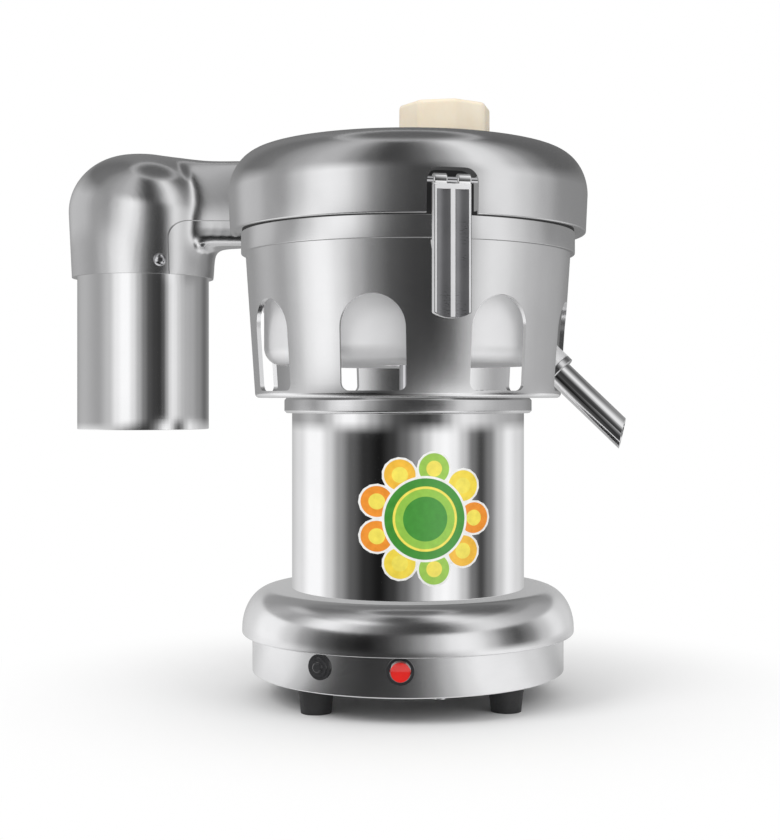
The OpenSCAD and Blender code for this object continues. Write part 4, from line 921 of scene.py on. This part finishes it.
throat = octagon("throat_sleeve", throat_w, throat_low.z, throat_top)
ease_edges(throat, fold_r, 3)
join_solids(throat, octagon("throat_flange", throat_flange_w, crown_z, crown_z + throat_flange_t))
combine(throat, octagon("throat_way", throat_bore, throat_low.z - spare, throat_high.z + spare), "DIFFERENCE")
ease_edges(throat, throat_edge)
smooth(throat, 35)
paint_with(throat, throat_steel)
place_piece(throat, "lid_assembly", "bowl_metal", "feed_throat")


# Pusher: an eight-sided plug of cream food-grade plastic, pressed down the throat by hand. Its head is
# wider than the stem, and all its edges are rounded.
pusher_low, pusher_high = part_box("pusher")
pusher_w = pusher_high.x - pusher_low.x
stem_clear = 0.0005
pusher_round = 0.0030


def plastic_material(name, dark, light, rough, rough_spread, grain_scale, grain_depth, **sockets):
    """Moulded plastic or rubber: a slightly clouded colour under a fine grain."""
    paint, tree, shader = new_material(name, **sockets)
    place = object_place(tree)
    cloud = noise(tree, place, scale=45.0, detail=5.0, roughness=0.6)
    grain = noise(tree, place, grain_scale)
    tree.links.new(over(tree, span(tree, cloud, 0, 1), dark, light), shader.inputs["Base Color"])
    tree.links.new(span(tree, grain, rough - rough_spread, rough + rough_spread), shader.inputs["Roughness"])
    bump = add_node(tree, "ShaderNodeBump", {"Height": grain, "Strength": 1.0, "Distance": grain_depth})
    tree.links.new(bump.outputs[0], shader.inputs["Normal"])
    return paint


cream = plastic_material("cream_plastic", (0.86, 0.75, 0.58), (0.92, 0.83, 0.68), 0.34, 0.06, 500.0, 0.00002,
    Subsurface_Weight=0.15, Subsurface_Radius=(0.006, 0.004, 0.002), Subsurface_Scale=0.5)
pusher = octagon("pusher_plug", pusher_w, throat_top, pusher_high.z)
ease_edges(pusher, pusher_round, 5)
stem = octagon("pusher_stem", throat_bore - 2 * stem_clear, pusher_low.z, throat_top + pusher_round)
ease_edges(stem, pusher_round, 5)
join_solids(pusher, stem)
smooth(pusher, 35)
paint_with(pusher, cream)
place_piece(pusher, "pusher", "cream_plastic", "pusher")


# Latch handles: forged stainless bars that hang from a pin in the lid's pocket by two polished knuckles.
# Two round grooves are milled down the face, coloured dark as painted shade, and a hook reaches under the
# band.
handle_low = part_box("front_latch_handle")[0].z
handle_in = 0.117
handle_out = 0.1232
handle_half = 0.012
handle_sag = 0.0032
handle_edge = 0.0006
pin_out = 0.1195
pin_z = 0.340
knuckle_r = 0.0038
knuckle_from = 0.00325
knuckle_edge = 0.0009
plate_drop = 0.0028
groove_r = 0.0094
groove_depth = 0.0011
groove_side = 0.00585
groove_end = 0.0062
groove_margin = 0.00002
groove_facing_share = 0.5
hook_tip = 0.1147
hook_root = handle_in + 0.0006
hook_z = 0.3031
hook_h = 0.003
satin_steel = metal_material("satin_bar", (0.84, 0.84, 0.85), (0.92, 0.92, 0.93), 0.34, 0.05,
    1400.0, 0.000002, metallic=0.4)
# The grooves' dark steel is a shaded copy of the bar's steel: painted shade.
groove_shade_steel = metal_material("groove_shade_steel", (0.20, 0.20, 0.21), (0.27, 0.27, 0.28), 0.30, 0.05,
    1400.0, 0.000002, metallic=0.7)

end_r = (handle_half ** 2 + handle_sag ** 2) / (2 * handle_sag)
end_angle = math.degrees(math.asin(handle_half / end_r))
outline = ([(handle_half, pin_z - plate_drop), (-handle_half, pin_z - plate_drop)]
    + corner(0, handle_low + end_r, end_r, end_r, 270 - end_angle, 270 + end_angle, 16))
bar = slab("front_latch_bar", [outward(latch_azimuth, handle_in, across, up) for across, up in outline],
    outward(latch_azimuth, handle_out - handle_in, 0, 0))
ease_edges(bar, handle_edge, 3, 50)
for side in (-1, 1):
    knuckle = rod("knuckle", outward(latch_azimuth, pin_out, side * knuckle_from, pin_z),
        outward(latch_azimuth, pin_out, side * handle_half, pin_z), knuckle_r, 64)
    ease_edges(knuckle, knuckle_edge, 3)
    join_solids(bar, knuckle)
groove_out = handle_out + groove_r - groove_depth
for side in (-1, 1):
    groove = rod("groove", outward(latch_azimuth, groove_out, side * groove_side, handle_low - spare),
        outward(latch_azimuth, groove_out, side * groove_side, pin_z - groove_end), groove_r, 128)
    combine(bar, groove, "DIFFERENCE")
hook_outline = [(hook_tip, hook_z), (hook_tip, hook_z - hook_h / 2), (hook_root, hook_z - 2 * hook_h),
    (hook_root, hook_z)]
hook = slab("hook", [outward(latch_azimuth, out, -handle_half, up) for out, up in hook_outline],
    outward(latch_azimuth, 0, 2 * handle_half, 0))
join_solids(bar, hook)
smooth(bar, 35)
paint_with(bar, satin_steel, groove_shade_steel, polished_metal)
# Faces in the grooves take the painted shade, and the knuckles above the plate take polished steel.
for face in bar.data.polygons:
    below_face = face.center.dot(latch_way) < handle_out - groove_margin
    faces_out = face.normal.dot(latch_way) > groove_facing_share
    if faces_out and below_face and face.center.z < pin_z - groove_end:
        face.material_index = 1
    elif face.center.z > pin_z - plate_drop + paint_margin:
        face.material_index = 2
rear_bar = copy_piece(bar, "rear_latch_bar")
alone(rear_bar)
rear_bar.rotation_euler.z = math.pi
bpy.ops.object.transform_apply(rotation=True)
place_piece(bar, "front_latch", "latch_steel", "front_latch_handle")
place_piece(rear_bar, "rear_latch", "latch_steel", "rear_latch_handle")


# Juice spout: a polished stainless pipe that falls out through a window, its
# mouth sawn nearly upright, and the round nut that clamps it to the bowl's boss.
spout_in = 0.015
spout_l = 0.0584
spout_bore = 0.007
spout_cut = math.radians(13)
spout_edge = 0.0003
nut_r = 0.0125
nut_back = 0.005
nut_front = 0.0005
nut_clear = 0.00005
nut_edge = 0.0006

spout = rod("juice_pipe", spout_start - spout_in * spout_way,
    spout_start + (spout_l + 2 * spout_r) * spout_way, spout_r, 128)
mouth = spout_start + spout_l * spout_way
mouth_way = Vector((math.cos(spout_cut), 0, -math.sin(spout_cut)))
combine(spout, rod("mouth_cut", mouth, mouth + 6 * spout_r * mouth_way, 4 * spout_r), "DIFFERENCE")
juice_way = rod("juice_way", spout_start - 2 * spout_in * spout_way, mouth + 4 * spout_r * spout_way,
    spout_bore, 128)
combine(spout, juice_way, "DIFFERENCE")
ease_edges(spout, spout_edge)
smooth(spout)
paint_with(spout, polished_metal)
place_piece(spout, "frame", "polished_steel", "juice_spout")

nut = rod("spout_ring_nut", spout_start - nut_back * spout_way, spout_start - nut_front * spout_way,
    nut_r, 96)
ease_edges(nut, nut_edge, 3)
nut_bore = rod("nut_bore", spout_start - 2 * nut_back * spout_way, spout_start + nut_back * spout_way,
    spout_r + nut_clear, 96)
combine(nut, nut_bore, "DIFFERENCE")
smooth(nut)
paint_with(nut, turned_metal)
place_piece(nut, "frame", "cast_aluminium", "spout_nut")


# Front sticker: a glossy printed film on the motor shell, cut in a scalloped
# round. The print is plain rings and coloured lobes inside a white border.
sticker_azimuth = 20
sticker_z = 0.1275
sticker_lobe_r = 0.0115
sticker_lobes = 9
lobe_steps = 8
sticker_ring = 0.0328
sticker_strip = 0.06
sticker_lift = 0.00006
sticker_t = 0.00014
sticker_border = 0.0015
sticker_middle = 0.0262
lobe_eye_share = 0.45
print_blur = 0.00012
label_white = (0.90, 0.90, 0.88)
middle_green = (0.05, 0.30, 0.03)
leaf_green = (0.30, 0.58, 0.06)
ring_yellow = (0.92, 0.78, 0.10)
middle_shares = [(1.0, middle_green), (0.80, ring_yellow), (0.74, leaf_green), (0.55, middle_green)]
lobe_colours = [(0.90, 0.30, 0.02), (0.93, 0.72, 0.06), (0.33, 0.60, 0.07), (0.93, 0.52, 0.04)]


def scallops():
    """The sticker's outline: the outer arcs of its lobes, one after another."""
    points = []
    reach = math.pi / sticker_lobes
    chord = math.sqrt(sticker_lobe_r ** 2 - (sticker_ring * math.sin(reach)) ** 2)
    meet = sticker_ring * math.cos(reach) + chord
    start = math.atan2(meet * math.sin(reach), meet * math.cos(reach) - sticker_ring)
    for i in range(sticker_lobes):
        middle = 2 * math.pi * i / sticker_lobes
        for k in range(lobe_steps + 1):
            turned = start * (2 * k / lobe_steps - 1)
            x = sticker_ring + sticker_lobe_r * math.cos(turned)
            y = sticker_lobe_r * math.sin(turned)
            points.append((x * math.cos(middle) - y * math.sin(middle),
                x * math.sin(middle) + y * math.cos(middle)))
    return points


film_in = shell_r + sticker_lift
film_out = film_in + sticker_t
film = turn("front_label", [(film_in, sticker_z - sticker_strip), (film_out, sticker_z - sticker_strip),
    (film_out, sticker_z + sticker_strip), (film_in, sticker_z + sticker_strip)], steps=256)
die = slab("label_die", [outward(sticker_azimuth, shell_r / 2, across, sticker_z + up)
    for across, up in scallops()], outward(sticker_azimuth, shell_r, 0, 0))
combine(film, die, "INTERSECT")
smooth(film, 40)

label_print, tree, shader = new_material("label_print", Coat_Weight=0.6, Coat_Roughness=0.08, Roughness=0.35)
place = object_place(tree)
across = reckon_way(tree, "DOT_PRODUCT", place, outward(sticker_azimuth, 0, 1, 0), "Value")
height = add_node(tree, "ShaderNodeSeparateXYZ", {0: place}).outputs["Z"]
up = reckon(tree, "SUBTRACT", height, sticker_z)
flat_place = add_node(tree, "ShaderNodeCombineXYZ", {"X": across, "Y": up}).outputs[0]
radius = reckon_way(tree, "LENGTH", flat_place, outcome="Value")
turns = reckon(tree, "MULTIPLY", reckon(tree, "ARCTAN2", up, across), sticker_lobes / (2 * math.pi))
lobe = reckon(tree, "ROUND", turns)
own_angle = reckon(tree, "MULTIPLY", reckon(tree, "SUBTRACT", turns, lobe), 2 * math.pi / sticker_lobes)
lobe_x = reckon(tree, "MULTIPLY", radius, reckon(tree, "COSINE", own_angle))
lobe_y = reckon(tree, "MULTIPLY", radius, reckon(tree, "SINE", own_angle))
lobe_place = add_node(tree, "ShaderNodeCombineXYZ", {"X": lobe_x, "Y": lobe_y}).outputs[0]
from_lobe = reckon_way(tree, "DISTANCE", lobe_place, (sticker_ring, 0, 0), "Value")


def within(value, edge):
    """One inside an edge of the print and nought outside it, with a thin soft step."""
    return span(tree, value, 1, 0, edge - print_blur, edge + print_blur)


colour_count = len(lobe_colours)
place_in_round = reckon(tree, "FLOORED_MODULO", lobe, colour_count)
lobe_share = reckon(tree, "DIVIDE", place_in_round, colour_count)
lobe_ramp = add_node(tree, "ShaderNodeValToRGB", {"Fac": lobe_share})
lobe_ramp.color_ramp.interpolation = "CONSTANT"
lobe_stops = lobe_ramp.color_ramp.elements
lobe_stops.remove(lobe_stops[-1])
for i in range(1, colour_count):
    lobe_stops.new((i - 0.5) / colour_count)
for stop, colour in zip(lobe_stops, lobe_colours):
    stop.color = (*colour, 1)
lobe_colour = lobe_ramp.outputs["Color"]
ink = over(tree, within(from_lobe, sticker_lobe_r - sticker_border), label_white, lobe_colour)
ink = over(tree, within(from_lobe, lobe_eye_share * sticker_lobe_r), ink, ring_yellow)
ink = over(tree, within(radius, sticker_middle + sticker_border), ink, label_white)
for share, colour in middle_shares:
    ink = over(tree, within(radius, share * sticker_middle), ink, colour)
speckle = noise(tree, place, scale=220.0, detail=5.0)
wear = over(tree, span(tree, speckle, 0, 1), (0.84, 0.84, 0.84), (1.0, 1.0, 1.0))
worn_ink = add_node(tree, "ShaderNodeMix", {"Factor": 1.0, 6: ink, 7: wear}, data_type="RGBA",
    blend_type="MULTIPLY")
tree.links.new(worn_ink.outputs[2], shader.inputs["Base Color"])
tree.links.new(span(tree, speckle, 0.28, 0.42), shader.inputs["Roughness"])
film_bump = add_node(tree, "ShaderNodeBump", {"Height": speckle, "Strength": 1.0, "Distance": 0.00001})
tree.links.new(film_bump.outputs[0], shader.inputs["Normal"])
paint_with(film, label_print)
place_piece(film, "frame", "sticker", "front_sticker")


# Rubber: four black feet, each held up to the base by a screw that sits deep in its middle. The bowl's
# gasket and the shaft's seal are of the same rubber. All keep their modelled shape.
rubber = plastic_material("black_rubber", (0.016, 0.016, 0.017), (0.032, 0.032, 0.033), 0.60, 0.10,
    900.0, 0.00004)


def dress(paint, *nodes):
    """Gives CAD pieces whose shape is right their finish, and keeps them out of the metal's reflections."""
    for node in nodes:
        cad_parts[node].visible_glossy = False
        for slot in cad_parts[node].material_slots:
            slot.material = paint


dress(rubber, "feet", "bowl_gasket", "shaft_seal")


# Controls: the round red rocker in its black bezel, the black overload reset with its stepped face, and
# the cord gland at the back, all moulded, as is the clamp of the run capacitor.
black = plastic_material("black_moulding", (0.018, 0.018, 0.020), (0.034, 0.034, 0.036), 0.30, 0.07,
    1200.0, 0.00001)
red = plastic_material("red_rocker", (0.62, 0.012, 0.010), (0.78, 0.022, 0.016), 0.12, 0.04,
    300.0, 0.000004, Coat_Weight=0.5, Coat_Roughness=0.05)
dress(black, "switch_bezel", "switch_nut", "reset_body", "reset_nut", "reset_button", "cord_gland",
    "capacitor_clamp")
dress(red, "switch_rocker")


# Fasteners: bright zinc screws and bolts under the base, through the motor and in the shroud's floor, the
# stainless pins that the latches hang from, and the nut that holds the grater down.
dress(screw_steel, "foot_screws", "base_plate_screws", "shroud_screws", "through_bolts", "latch_pins",
    "lock_nut")


# Underside: a dark painted sheet that closes the base, with the run capacitor
# and a pale terminal block on it.
plate_paint = plastic_material("plate_paint", (0.055, 0.055, 0.060), (0.085, 0.085, 0.090), 0.45, 0.08,
    700.0, 0.00003)
pale = plastic_material("pale_moulding", (0.66, 0.64, 0.56), (0.76, 0.74, 0.66), 0.42, 0.08, 600.0, 0.00002)
dress(plate_paint, "base_plate")
dress(pale, "run_capacitor", "terminal_block")


# Motor: rough cast end shields, a varnished stack of laminations, enamelled copper end turns, ground steel
# for the shaft and the bearings, and a moulded fan.
shield_metal = metal_material("rough_casting", (0.56, 0.57, 0.58), (0.68, 0.69, 0.70), 0.42, 0.08,
    300.0, 0.00001, 500.0, 0.00006)
stack_steel = metal_material("lamination_stack", (0.26, 0.26, 0.28), (0.40, 0.40, 0.42), 0.38, 0.08,
    2400.0, 0.00003)
copper = metal_material("enamelled_copper", (0.55, 0.24, 0.09), (0.72, 0.36, 0.16), 0.28, 0.08,
    1500.0, 0.00006)
ground_steel = metal_material("ground_steel", (0.62, 0.62, 0.64), (0.76, 0.76, 0.78), 0.14, 0.05,
    1600.0, 0.000004)
dress(shield_metal, "upper_end_shield", "lower_end_shield")
dress(stack_steel, "stator_core", "rotor_core")
dress(copper, "stator_windings")
dress(ground_steel, "motor_shaft", "lower_bearing", "upper_bearing")
dress(black, "cooling_fan")


# Strainer and grater: a perforated stainless basket with a beaded rim on a
# turned hub, and the grater disc with its punched teeth in the bottom.
strainer_steel = metal_material("strainer_sheet", (0.74, 0.74, 0.76), (0.84, 0.84, 0.86), 0.22, 0.06,
    900.0, 0.00001)
dress(strainer_steel, "strainer_basket", "basket_rim", "grater_disc")
dress(turned_metal, "drive_hub")
